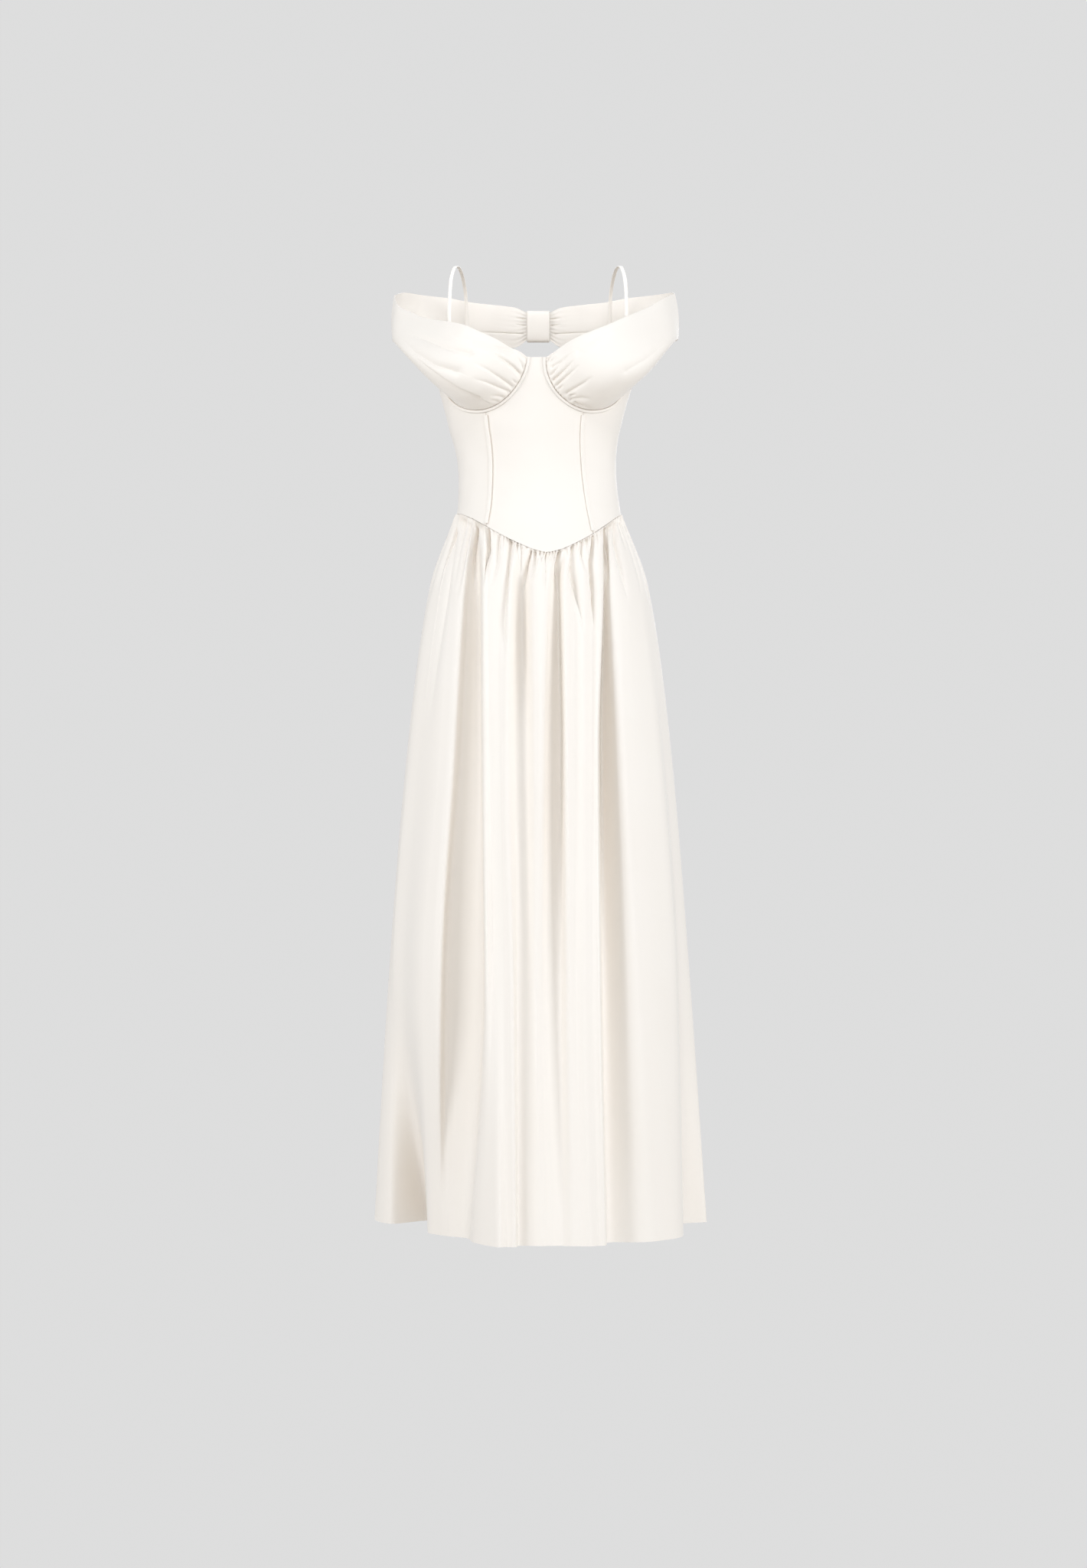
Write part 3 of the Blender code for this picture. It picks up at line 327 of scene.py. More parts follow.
# Camera, as the photograph was taken: level, 4.5 m from the dress, at about knee to hip height
CAMERA_PLACE = (0.008, -4.5, -0.453)
FRAME_HEIGHT = 2.324  # what the picture's height shows at the dress
BACKDROP = 0.7908  # the photograph's plain grey, as light
PRINT_GAMMA = 0.74  # the photograph's lively contrast in the whites
ROOM_LIGHT = (0.565, 0.58, 0.595, 1)  # what the studio's walls throw back
LAMP_COLOUR = (0.952, 1.0, 1.07)
DRESS_MIDDLE = (0.0, 0.0, -0.4)
# Lamps: name, place, what it points at, width and height, and power
LAMPS = (
    ("key", (3.7, -2.2, 0.9), DRESS_MIDDLE, (1.6, 2.6), 70.0),
    ("side", (-3.7, -2.2, 0.9), DRESS_MIDDLE, (1.6, 2.6), 70.0),
    ("back", (0.6, 4.4, 1.2), DRESS_MIDDLE, (3.0, 2.4), 60.0),
    ("inside", (0.0, -0.10, 0.36), (0.0, 0.17, 0.20), (0.24, 0.06), 0.075),
    ("over", (0.2, -3.0, 2.9), (0.0, 0.05, 0.2), (1.6, 1.0), 22.0),
    ("front", (0.5, -4.9, 0.5), DRESS_MIDDLE, (2.4, 1.6), 33.0),
)


# Curves and tables


def eased(values, slope, i, width, t):
    """Values at the share t of the step that follows point i, for the slopes at its two ends."""
    return (
        (2 * t**3 - 3 * t**2 + 1) * values[i]
        + (t**3 - 2 * t**2 + t) * width * slope[i]
        + (3 * t**2 - 2 * t**3) * values[i + 1]
        + (t**3 - t**2) * width * slope[i + 1]
    )


def smooth(at, values, where):
    """Values at where of a smooth curve, with no overshoot, through a table's points."""
    at = np.asarray(at, float)
    values = np.asarray(values, float).reshape(len(at), -1)
    where = np.asarray(where, float)
    if at[0] > at[-1]:
        at, values = at[::-1], values[::-1]
    step = np.diff(at)[:, None]
    rise = np.diff(values, axis=0) / step
    slope = np.zeros_like(values)
    together = rise[:-1] * rise[1:]
    total = rise[:-1] + rise[1:]
    slope[1:-1] = np.where(together > 0, 2 * together / np.where(total == 0, 1, total), 0)
    slope[0], slope[-1] = rise[0], rise[-1]
    i = np.clip(np.searchsorted(at, where, side="right") - 1, 0, len(at) - 2)
    return eased(values, slope, i, step[i], np.clip((where - at[i])[..., None] / step[i], 0, 1))


def flowing(at, points, where, period=None):
    """Points at where of a rounded curve through points, closed on itself if it has a period."""
    at = np.asarray(at, float)
    points = np.asarray(points, float)
    if period:
        at = np.concatenate([at[-2:] - period, at, at[:2] + period])
        points = np.concatenate([points[-2:], points, points[:2]])
    slope = np.gradient(points, at, axis=0)
    i = np.clip(np.searchsorted(at, where, side="right") - 1, 0, len(at) - 2)
    width = (at[i + 1] - at[i])[:, None]
    return eased(points, slope, i, width, (np.asarray(where, float) - at[i])[:, None] / width)


def length_to(points):
    """Length of a line up to each of its points."""
    return np.concatenate([[0], np.cumsum(np.linalg.norm(np.diff(points, axis=0), axis=1))])


def by_length(points):
    """The share of a line's length at each of its points."""
    run = length_to(points)
    return run / run[-1]


def unit(vectors):
    return vectors / np.linalg.norm(vectors, axis=-1, keepdims=True)


def level_out(ahead):
    """Level directions outwards, square to the way ahead round the body."""
    return unit(np.stack([ahead[..., 1], -ahead[..., 0], np.zeros_like(ahead[..., 0])], axis=-1))


def squared(wave, power):
    """A sine or cosine with fuller shoulders, for sections between round and square."""
    return np.sign(wave) * np.abs(wave) ** power


def outline(table, turn, height):
    """Point at that turn and height on the ellipse that a table of sections gives."""
    turn, height = np.broadcast_arrays(np.radians(turn), np.asarray(height, float))
    sizes = np.transpose([table[k] for k in ("half_width", "front", "back", "lean")])
    half_width, front, back, lean = np.moveaxis(smooth(table["height"], sizes, height), -1, 0)
    depth = np.where(np.cos(turn) > 0, front, back)
    return np.stack([lean + half_width * np.sin(turn), -depth * np.cos(turn), height], axis=-1)


def torso_normal(turn, height):
    """Level outward direction from the bodice at that turn and height."""
    turn = np.asarray(turn)
    return level_out(outline(TORSO, turn + 0.5, height) - outline(TORSO, turn - 0.5, height))


def square_to(grid):
    """Direction square to the cloth at each point of a grid."""
    return unit(np.cross(np.gradient(grid, axis=1), np.gradient(grid, axis=0)))


def trough_depth(xz, troughs, fullness=TROUGH_FULLNESS):
    """How deep the small folds press the cloth in at each point (x, z)."""
    total = np.zeros(xz.shape[:-1])
    for depth, left_width, right_width, line in troughs:
        line = np.asarray(line, float)
        run = by_length(line)
        nearest = np.full(total.shape, np.inf)
        share = np.zeros(total.shape)
        left = np.zeros(total.shape, bool)
        for i in range(len(line) - 1):
            way = line[i + 1] - line[i]
            off = xz - line[i]
            t = np.clip(off @ way / (way @ way), 0, 1)
            gap = off - t[..., None] * way
            distance = np.linalg.norm(gap, axis=-1)
            closer = distance < nearest
            nearest = np.where(closer, distance, nearest)
            share = np.where(closer, run[i] + (run[i + 1] - run[i]) * t, share)
            left = np.where(closer, way[0] * gap[..., 1] - way[1] * gap[..., 0] > 0, left)
        width = np.where(left, left_width, right_width)
        fade = np.clip(1 - share**2, 0, 1)
        total += fullness * depth * fade * np.exp(-((nearest / (0.8 * width)) ** 1.3))
    return total


def waver(a, b, seed):
    """A slow uneven swell between -1 and 1 over two coordinates, the same on each run."""
    return (
        np.sin(a + 1.7 * np.sin(b * 0.9 + seed) + seed * 2.1)
        + 0.6 * np.sin(a * 2.3 - b * 1.4 + seed * 1.3)
        + 0.4 * np.sin(b * 3.1 + a * 0.7 + seed * 0.7)
    ) / 2.0


# Meshes


def stand(name, data):
    """A new object of the scene with that data."""
    piece = bpy.data.objects.new(name, data)
    bpy.context.scene.collection.objects.link(piece)
    return piece


def cloth_shell(name, outer, out, thickness=CLOTH):
    """A closed sheet of cloth, its face a grid of points and its other side a thickness behind that."""
    rows, columns = outer.shape[:2]
    inner = outer - out * thickness
    points = np.concatenate([outer.reshape(-1, 3), inner.reshape(-1, 3)])
    number = np.arange(rows * columns).reshape(rows, columns)
    under = number + rows * columns
    a, b, c, d = number[:-1, :-1], number[:-1, 1:], number[1:, 1:], number[1:, :-1]
    faces = [np.stack([a, b, c, d], axis=-1).reshape(-1, 4)]
    a, b, c, d = under[:-1, :-1], under[1:, :-1], under[1:, 1:], under[:-1, 1:]
    faces.append(np.stack([a, b, c, d], axis=-1).reshape(-1, 4))
    rim = np.concatenate([number[0, :-1], number[:-1, -1], number[-1, :0:-1], number[:0:-1, 0]])
    ahead = np.roll(rim, -1)
    low = rim + rows * columns
    faces.append(np.stack([ahead, rim, low, np.roll(low, -1)], axis=-1))
    return mesh_piece(name, points, np.concatenate(faces).tolist())


def mesh_piece(name, points, faces, sharp=60):
    mesh = bpy.data.meshes.new(name)
    mesh.from_pydata(points.tolist(), [], faces)
    shell = bmesh.new()
    shell.from_mesh(mesh)
    bmesh.ops.recalc_face_normals(shell, faces=shell.faces)
    shell.to_mesh(mesh)
    shell.free()
    mesh.shade_smooth()
    mesh.set_sharp_from_angle(angle=math.radians(sharp))
    return stand(name, mesh)


def tube_faces(number):
    """Faces between the rings of a tube, from the numbers of its points, ring by ring."""
    a, b = number[:-1], np.roll(number[:-1], -1, axis=1)
    c, d = np.roll(number[1:], -1, axis=1), number[1:]
    return np.stack([a, b, c, d], axis=-1).reshape(-1, 4).tolist()


def round_tape(name, centres, across, out, half_width, half_height, flatness=0.6, sides=16):
    """A closed tape of rounded section along centres."""
    angle = (2 * math.pi * np.arange(sides) / sides)[:, None]
    wide = half_width * squared(np.cos(angle), flatness)
    high = half_height * squared(np.sin(angle), flatness)
    rings = centres[:, None] + across[:, None] * wide + out[:, None] * high
    number = np.arange(len(centres) * sides).reshape(-1, sides)
    faces = tube_faces(number) + [number[0, ::-1].tolist(), number[-1].tolist()]
    return mesh_piece(name, rings.reshape(-1, 3), faces, 70)


def stitches(name, line, out, pitch=0.0030, length=0.0019, radius=0.00015):
    """A row of small rounded stitches along a line on the cloth."""
    run = length_to(line)
    starts = np.arange(pitch, run[-1] - pitch, pitch)
    points, faces = [], []
    for start in starts:
        base = len(points)
        middle = np.array([np.interp(start, run, line[:, k]) for k in range(3)])
        ahead = np.array([np.interp(start + length, run, line[:, k]) for k in range(3)])
        up = unit(np.array([np.interp(start, run, out[:, k]) for k in range(3)]))
        way = unit(ahead - middle)
        side = np.cross(way, up)
        for share, size in ((0, 0.35), (0.2, 1), (0.8, 1), (1, 0.35)):
            centre = middle + (ahead - middle) * share
            for k in range(6):
                angle = 2 * math.pi * k / 6
                points.append(centre + (side * math.cos(angle) + up * math.sin(angle)) * radius * size)
        for ring in range(3):
            for k in range(6):
                j = (k + 1) % 6
                a = base + ring * 6
                faces.append((a + k, a + j, a + 6 + j, a + 6 + k))
        faces.append(tuple(base + k for k in range(5, -1, -1)))
        faces.append(tuple(base + 18 + k for k in range(6)))
    mesh = bpy.data.meshes.new(name)
    mesh.from_pydata(np.array(points).tolist(), [], faces)
    mesh.shade_smooth()
    return stand(name, mesh)


def dress(piece, material, *nodes):
    """Gives a piece its finish and its place in the frame, and lets it stand for its node of the model."""
    piece.data.materials.append(material)
    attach(piece, "root")
    if nodes:
        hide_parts(*nodes)
    return piece


# Materials


def group_with(name, inputs, outputs):
    group = bpy.data.node_groups.new(name, "ShaderNodeTree")
    for label, kind, value in inputs:
        socket = group.interface.new_socket(label, in_out="INPUT", socket_type=kind)
        socket.default_value = value
    for label, kind in outputs:
        group.interface.new_socket(label, in_out="OUTPUT", socket_type=kind)
    enter = group.nodes.new("NodeGroupInput")
    leave = group.nodes.new("NodeGroupOutput")
    return group, enter, leave


def crepe_grain_group():
    """The crinkled yarn of crepe: a fine uneven height, and a mask of where the yarn catches the light."""
    group, enter, leave = group_with(
        "crepe grain",
        [("Yarn scale", "NodeSocketFloat", 1500.0), ("Crinkle scale", "NodeSocketFloat", 420.0)],
        [("Height", "NodeSocketFloat"), ("Catch", "NodeSocketFloat")],
    )
    place = group.nodes.new("ShaderNodeTexCoord")
    link = group.links.new
    yarn = group.nodes.new("ShaderNodeTexNoise")
    yarn.inputs["Detail"].default_value = 2.0
    stretch = group.nodes.new("ShaderNodeMapping")
    stretch.inputs["Scale"].default_value = (1.0, 1.0, 0.45)
    link(place.outputs["Object"], stretch.inputs["Vector"])
    link(stretch.outputs["Vector"], yarn.inputs["Vector"])
    link(enter.outputs["Yarn scale"], yarn.inputs["Scale"])
    crinkle = group.nodes.new("ShaderNodeTexNoise")
    crinkle.inputs["Detail"].default_value = 3.0
    link(place.outputs["Object"], crinkle.inputs["Vector"])
    link(enter.outputs["Crinkle scale"], crinkle.inputs["Scale"])
    mix = group.nodes.new("ShaderNodeMix")
    mix.inputs["Factor"].default_value = 0.4
    link(yarn.outputs["Fac"], mix.inputs["A"])
    link(crinkle.outputs["Fac"], mix.inputs["B"])
    link(mix.outputs["Result"], leave.inputs["Height"])
    link(yarn.outputs["Fac"], leave.inputs["Catch"])
    return group


def cloth_tone_group():
    """Slow changes of tone over the cloth, as its lie and handling give it."""
    group, enter, leave = group_with(
        "cloth tone",
        [
            ("Light tone", "NodeSocketColor", (1, 1, 1, 1)),
            ("Deep tone", "NodeSocketColor", (1, 1, 1, 1)),
            ("Patch scale", "NodeSocketFloat", 9.0),
        ],
        [("Color", "NodeSocketColor")],
    )
    place = group.nodes.new("ShaderNodeTexCoord")
    patches = group.nodes.new("ShaderNodeTexNoise")
    patches.inputs["Detail"].default_value = 3.0
    mix = group.nodes.new("ShaderNodeMix")
    mix.data_type = "RGBA"
    link = group.links.new
    link(place.outputs["Object"], patches.inputs["Vector"])
    link(enter.outputs["Patch scale"], patches.inputs["Scale"])
    link(patches.outputs["Fac"], mix.inputs["Factor"])
    link(enter.outputs["Light tone"], mix.inputs["A"])
    link(enter.outputs["Deep tone"], mix.inputs["B"])
    link(mix.outputs["Result"], leave.inputs["Color"])
    return group


def crepe_material(name, grain, tone, light, deep, roughness, bump=0.25):
    """Satin-faced crepe: a matt ivory cloth with a faint sheen and crinkled yarn."""
    material = bpy.data.materials.new(name)
    material.use_nodes = True
    nodes, link = material.node_tree.nodes, material.node_tree.links.new
    shader = nodes["Principled BSDF"]
    shader.inputs["Metallic"].default_value = 0.0
    shader.inputs["Specular IOR Level"].default_value = 0.35
    shader.inputs["Sheen Weight"].default_value = 0.25
    shader.inputs["Sheen Roughness"].default_value = 0.45
    cloth_grain = nodes.new("ShaderNodeGroup")
    cloth_grain.node_tree = grain
    cloth_tone = nodes.new("ShaderNodeGroup")
    cloth_tone.node_tree = tone
    cloth_tone.inputs["Light tone"].default_value = light
    cloth_tone.inputs["Deep tone"].default_value = deep
    catch = nodes.new("ShaderNodeMapRange")
    catch.inputs["To Min"].default_value = roughness - 0.06
    catch.inputs["To Max"].default_value = roughness + 0.06
    height = nodes.new("ShaderNodeBump")
    height.inputs["Strength"].default_value = bump
    height.inputs["Distance"].default_value = 0.0002
    link(cloth_tone.outputs["Color"], shader.inputs["Base Color"])
    link(cloth_grain.outputs["Catch"], catch.inputs["Value"])
    link(catch.outputs["Result"], shader.inputs["Roughness"])
    link(cloth_grain.outputs["Height"], height.inputs["Height"])
    link(height.outputs["Normal"], shader.inputs["Normal"])
    return material


# Bodice


def waist_height(turn):
    """Height of the waist seam, which is drawn through the same corners as the model's."""
    corners = np.linspace(-90, 270, 97)
    from_point = np.abs(corners - WAIST_POINT_TURN)
    front = smooth(WAIST_SEAM["turn_from_point"], WAIST_SEAM["height"], from_point)[:, 0]
    behind = WAIST_SEAM["height"][-1] - BACK_SEAM_DIP * np.sin(np.radians(corners - 90)) ** 2
    return np.interp(turn, corners, np.where(corners > 90, behind, front))


def wire_point(side, share):
    """Turn and height on the cup seam, from the gore (0) round under the cup to the arm (1)."""
    angle = np.radians(WIRE_SWEEP * np.asarray(share, float))
    reach = np.where(angle < math.pi / 2, WIRE_TURN_INNER, WIRE_TURN_OUTER)
    return side * (WIRE_TURN - reach * np.cos(angle)), WIRE_TOP - WIRE_DEPTH * np.sin(angle)


def cup_seam(side, share):
    """Points of the cup seam on the bodice, with its direction into the cup and its outward direction."""
    share = np.asarray(share, float)
    turn, height = wire_point(side, share)
    points = outline(TORSO, turn, height)
    along = outline(TORSO, *wire_point(side, share + 0.01)) - outline(TORSO, *wire_point(side, share - 0.01))
    out = torso_normal(turn, height)
    inward = unit(np.cross(out, along)) * side
    return points, inward, out


def princess_share():
    shares = np.linspace(0, 1, 400)
    return shares[np.argmin(np.abs(wire_point(1, shares)[0] - PRINCESS_TURN_TOP))]


def resample(edge, count):
    """An edge of (turn, height) points drawn again with that many points, evenly along it."""
    edge = np.asarray(edge, float)
    run = by_length(edge * (DEGREE_LENGTH, 1.0))
    return np.transpose([np.interp(np.linspace(0, 1, count), run, edge[:, k]) for k in range(2)])


def bodice_panel(name, low, top, columns, rows, material, seed):
    """One panel, with its side edges turned in a little at the seams and the cloth slightly uneven."""
    low, top = resample(low, columns), resample(top, columns)
    share = np.linspace(0, 1, rows)[:, None, None]
    edge = top * (1 - share) + low * share
    outer = outline(TORSO, edge[..., 0], edge[..., 1])
    out = torso_normal(edge[..., 0], edge[..., 1])
    across = np.linalg.norm(np.diff(outer, axis=1), axis=-1).cumsum(axis=1)
    across = np.concatenate([np.zeros((rows, 1)), across], axis=1)
    to_side = np.minimum(across, across[:, -1:] - across)
    to_waist = outer[..., 2] - outer[-1:, :, 2]
    sink = SEAM_SINK[0] * np.exp(-to_side / SEAM_SINK[1])
    ripple = BODICE_RIPPLE * waver(edge[..., 0] / 7.0, edge[..., 1] * 45, seed)
    ripple *= np.clip(to_side / 0.015, 0, 1) * np.clip(to_waist / 0.02, 0, 1)
    outer = outer - out * (sink - ripple)[..., None]
    return dress(cloth_shell(f"{name}_cloth", outer, out, BODICE_CLOTH), material, name)


def make_bodice(material):
    half_gap = math.degrees(SEAM_GAP / BODY_RADIUS) / 2
    meet = princess_share()
    arc = np.linspace(0, meet, 60)
    right_arc = np.transpose(wire_point(-1, arc))[::-1]
    top = np.concatenate([right_arc, np.transpose(wire_point(1, arc))])
    turn = np.linspace(-PRINCESS_TURN_LOW, PRINCESS_TURN_LOW, 121)
    low = np.transpose([turn, waist_height(turn)])
    for edge in (top, low):
        edge[0, 0] += half_gap
        edge[-1, 0] -= half_gap
    pieces = [bodice_panel("bodice_centre_front", low, top, 161, 90, material, 0.3)]
    for side, label in SIDES:
        mirror = np.array([side, 1])
        last_turn, last_height = wire_point(1, 1.0)
        arc = np.transpose(wire_point(1, np.linspace(meet, 1, 50)))
        free = [
            ((last_turn + 90) / 2, (last_height + SIDE_SEAM_TOP) / 2 - 0.002),
            (90.0 - half_gap, SIDE_SEAM_TOP),
        ]
        top = np.concatenate([arc, free])
        top[0, 0] += half_gap
        turn = np.linspace(PRINCESS_TURN_LOW + half_gap, 90 - half_gap, 71)
        low = np.transpose([turn, waist_height(side * turn)])
        name = f"bodice_side_front_{label}"
        pieces.append(bodice_panel(name, low * mirror, top * mirror, 91, 90, material, 1.1 * side))
        turn = np.linspace(90 + half_gap, 180 - half_gap, 91)
        low = np.transpose([turn, waist_height(turn)])
        climb = np.cos(np.radians(turn - 90)) ** 2
        top = np.transpose([turn, BACK_TOP + (SIDE_SEAM_TOP - BACK_TOP) * climb])
        name = f"bodice_back_{label}"
        pieces.append(bodice_panel(name, low * mirror, top * mirror, 101, 70, material, 2.3 * side))
    return pieces


def make_channels(material, thread):
    """The casings of the wires round the cup seams and of the bones on the princess seams, with stitches."""
    share = np.linspace(0, 1, 150)
    meet_height = float(wire_point(1, princess_share())[1])
    for side, label in SIDES:
        points, inward, out = cup_seam(side, share)
        half_width = CHANNEL_WIDTH / 2
        centres = points + inward * (SEAM_GAP + half_width) + out * CHANNEL_RISE
        name = f"wire_channel_{label}"
        tape = round_tape(f"{name}_tape", centres, inward, out, half_width, CHANNEL_HALF_HEIGHT)
        dress(tape, material, name)
        for edge, place in (("inner", 0.62), ("outer", -0.62)):
            line = centres + inward * half_width * place + out * CHANNEL_STITCH_RISE
            dress(stitches(f"wire_channel_stitches_{edge}_{label}", line, out), thread)
        low_height = float(waist_height(side * PRINCESS_TURN_LOW))
        height = np.linspace(low_height, meet_height, 100)
        height = np.clip(height, low_height + BONING_END_GAP, meet_height - BONING_END_GAP)
        height = height[np.concatenate([[True], np.diff(height) > 1e-6])]
        turn = side * np.interp(height, (low_height, meet_height), (PRINCESS_TURN_LOW, PRINCESS_TURN_TOP))
        out = torso_normal(turn, height)
        rise = BONING_RISE[label]
        centres = outline(TORSO, turn, height) + out * rise
        across = unit(np.cross(np.gradient(centres, axis=0), out))
        name = f"boning_channel_{label}"
        tape = round_tape(f"{name}_tape", centres, across, out, BONING_WIDTH / 2, rise)
        dress(tape, material, name)
        for edge, place in (("front", 0.66), ("side", -0.66)):
            line = centres + across * BONING_WIDTH / 2 * place + out * rise * BONING_STITCH_SHARE
            dress(stitches(f"boning_channel_stitches_{edge}_{label}", line, out), thread)


# Draped cups


def cup_base(side, label, down, out):
    """Points of a cup's cloth, for shares down from its neck edge and out from its seam to the shoulder."""
    points, inward, _ = cup_seam(side, down)
    seam = points + inward * (2 * SEAM_GAP + CHANNEL_WIDTH)
    mirror = np.array([side, 1, 1])
    neck = np.concatenate([seam[:1], NECK_EDGE[label] * mirror])
    arm = np.concatenate([seam[-1:], ARM_EDGE[label] * mirror])
    neck = flowing(by_length(neck), neck, out)[:, None, :]
    arm = flowing(by_length(arm), arm, out)[:, None, :]
    s, t = down[None, :, None], out[:, None, None]
    crown = SHOULDER_CROWN * np.sin(math.pi * s[0]) * (side, 0, 0)
    shoulder = neck[-1] * (1 - s[0]) + arm[-1] * s[0] + crown
    ruled = (1 - t) * seam + t * shoulder
    corners = (1 - s) * ((1 - t) * neck[0] + t * neck[-1]) + s * ((1 - t) * arm[0] + t * arm[-1])
    cloth = ruled + (1 - s) * neck + s * arm - corners
    fullness = np.sin(math.pi * s) ** CUP_FULLNESS_SPREAD * np.sin(math.pi * t**CUP_FULLNESS_REACH)
    return cloth + CUP_FULLNESS * fullness * CUP_FULLNESS_WAY * mirror


def cup_normals(side, base, down):
    """Outward direction over a cup: square to the bodice at its seam and level at the shoulder."""
    normals = square_to(base) * side
    normals[0] = cup_seam(side, down)[2]
    normals[-1, :, 1] = 0
    return unit(normals)


def make_cups(material):
    out = np.linspace(0, 1, 131) ** 1.4
    down = np.linspace(0, 1, 201)
    for side, label in SIDES:
        base = cup_base(side, label, down, out)
        normals = cup_normals(side, base, down)
        troughs = CUP_TROUGHS[label] + ((DRAPE_EDGE,) if label == "right" else ())
        depth = trough_depth(base[..., ::2], troughs)
        t, s = out[:, None], down[None, :]
        wave = np.sin(s * 150 + 4 * np.sin(s * 23))
        pucker = wave * np.exp(-t / CUP_PUCKER[1]) * (s < 0.5) * CUP_PUCKER[0]
        depth = depth * np.clip(t / 0.01, 0, 1) * np.clip((1 - t) / 0.06, 0, 1)
        outer = base - normals * (depth + pucker)[..., None]
        piece = dress(cloth_shell(f"cup_drape_{label}_cloth", outer, normals), material, f"cup_drape_{label}")


# Back band, loop and straps


def band_base(side, label, along, down):
    """Points of a back band, for shares along it from the shoulder seam and down it from its top."""
    table = np.transpose([BACK_BAND[k] for k in ("x", "y", "top", "low")])
    shoulder = np.abs([NECK_EDGE[label][-1], ARM_EDGE[label][-1]])
    table[0] = shoulder[0, 0], SHOULDER_Y, shoulder[0, 2], shoulder[1, 2]
    line = flowing(np.linspace(0, 1, len(table)), table, along)
    x, y, top, low = (line[:, k, None] for k in range(4))
    lean = (shoulder[1, 0] - shoulder[0, 0]) * np.clip(1 - 4 * along, 0, 1)[:, None]
    s = down[None, :]
    crown = SHOULDER_CROWN * np.sin(math.pi * s) * (1 - along[:, None])
    height = top + (low - top) * s
    points = np.stack([side * (x + lean * s + crown), y + 0 * s, height], axis=-1)
    points[0, :, 1] = SHOULDER_Y + SEAM_GAP
    return points


def make_back_bands(material):
    along, down = np.linspace(0, 1, 181), np.linspace(0, 1, 81)
    for side, label in SIDES:
        base = band_base(side, label, along, down)
        normals = square_to(base) * side
        normals[0, :, 1] = 0
        normals = unit(normals)
        depth = trough_depth(base[..., ::2] * (side, 1), BAND_TROUGHS, 1.0)
        past_loop = np.abs(base[..., 0]) - LOOP_HALF_WIDTH
        outside_loop = np.clip(past_loop / 0.004, 0, 1)
        pleats = BAND_PLEATS * np.sin(down * 55) * np.exp(-np.clip(past_loop, 0, None) / 0.012)
        slack = BAND_SLACK * waver(base[..., 0] * 40, base[..., 2] * 70, 0.9 * side)
        slack *= along[:, None] > 0.02
        outer = base + normals * ((depth + pleats) * outside_loop + slack)[..., None]
        piece = cloth_shell(f"back_band_{label}_cloth", outer, normals, BAND_CLOTH)
        dress(piece, material, f"back_band_{label}")


def make_back_loop(material):
    """The upright keeper round the two band ends."""
    angle = np.linspace(0, 2 * math.pi, 97)[:-1]
    across, up = squared(np.cos(angle), LOOP_ROUNDNESS), squared(np.sin(angle), LOOP_ROUNDNESS)
    places = np.linspace(-1, 1, 33)

    def ring(place, less):
        rounded = LOOP_EDGE * np.clip((abs(place) - 0.88) / 0.12, 0, 1) ** 2
        waist = LOOP_WAIST * (1 - place**2)
        y = LOOP_CENTRE[1] + (LOOP_HALF_DEPTH - less - rounded - waist) * across
        z = LOOP_CENTRE[2] + (LOOP_HALF_HEIGHT - less - rounded) * up
        return np.stack([np.full_like(y, place * LOOP_HALF_WIDTH), y, z], axis=-1)

    rows = [ring(p, 0.0) for p in places] + [ring(p, LOOP_CLOTH) for p in places[::-1]]
    points = np.concatenate(rows)
    number = np.arange(len(points)).reshape(len(rows), -1)
    number = np.concatenate([number, number[:1]])
    piece = mesh_piece("back_loop_cloth", points, tube_faces(number))
    dress(piece, material, "back_loop")


def strap_route(side, label):
    """Points of a strap's middle line, from inside the cup to inside the back, and the way of its width."""
    down = np.linspace(0, 1, 41)
    cup = cup_base(side, label, down, np.linspace(0, 1, 81))
    normals = cup_normals(side, cup, down)
    neck = int(np.argmin(np.abs(np.abs(cup[:, 0, 0]) - STRAP_ARCH_CENTRE[0] - STRAP_ARCH_HALF[0])))
    front, across_front = [], []
    for drop in STRAP_TUCK:
        target = cup[neck, 0] - (0, 0, drop)
        distance = np.linalg.norm((cup - target)[..., ::2], axis=-1)
        i, k = np.unravel_index(np.argmin(distance), distance.shape)
        front.append(cup[i, k] - normals[i, k] * STRAP_FRONT_DEPTH)
        across_front.append((-normals[i, k, 1], normals[i, k, 0], 0.0))
    turn = side * STRAP_BACK_TURN
    behind = torso_normal(turn, BACK_TOP)
    back = outline(TORSO, turn, BACK_TOP + np.array(STRAP_BACK_LEVELS)) - behind * STRAP_BACK_DEPTH
    across_back = (behind[1], -behind[0], 0.0)
    angle = np.radians(np.linspace(0, 180, 7))
    round_arch = np.transpose([np.cos(angle), -np.cos(angle), np.sin(angle)])
    arch = np.array(STRAP_ARCH_CENTRE) + round_arch * STRAP_ARCH_HALF
    middle = np.concatenate([arch, [STRAP_REAR_DROP]]) * (side, 1, 1)
    points = np.concatenate([front, middle, back])
    sideways = np.array(across_front + [(1.0, 0.0, 0.0)] * len(arch) + [across_back] * (len(back) + 1))
    return points, sideways


def make_straps(material):
    for side, label in SIDES:
        route, sideways = strap_route(side, label)
        place, where = by_length(route), np.linspace(0, 1, 181)
        line = flowing(place, route, where)
        along = unit(np.gradient(line, axis=0))
        sideways = unit(smooth(place, sideways, where))
        across = unit(sideways - along * np.sum(along * sideways, axis=1)[:, None])
        out = np.cross(along, across)
        name = f"strap_{label}"
        tape = round_tape(f"{name}_tape", line, across, out, STRAP_WIDTH / 2, STRAP_THICKNESS / 2, 0.7)
        dress(tape, material, name)


# Skirt


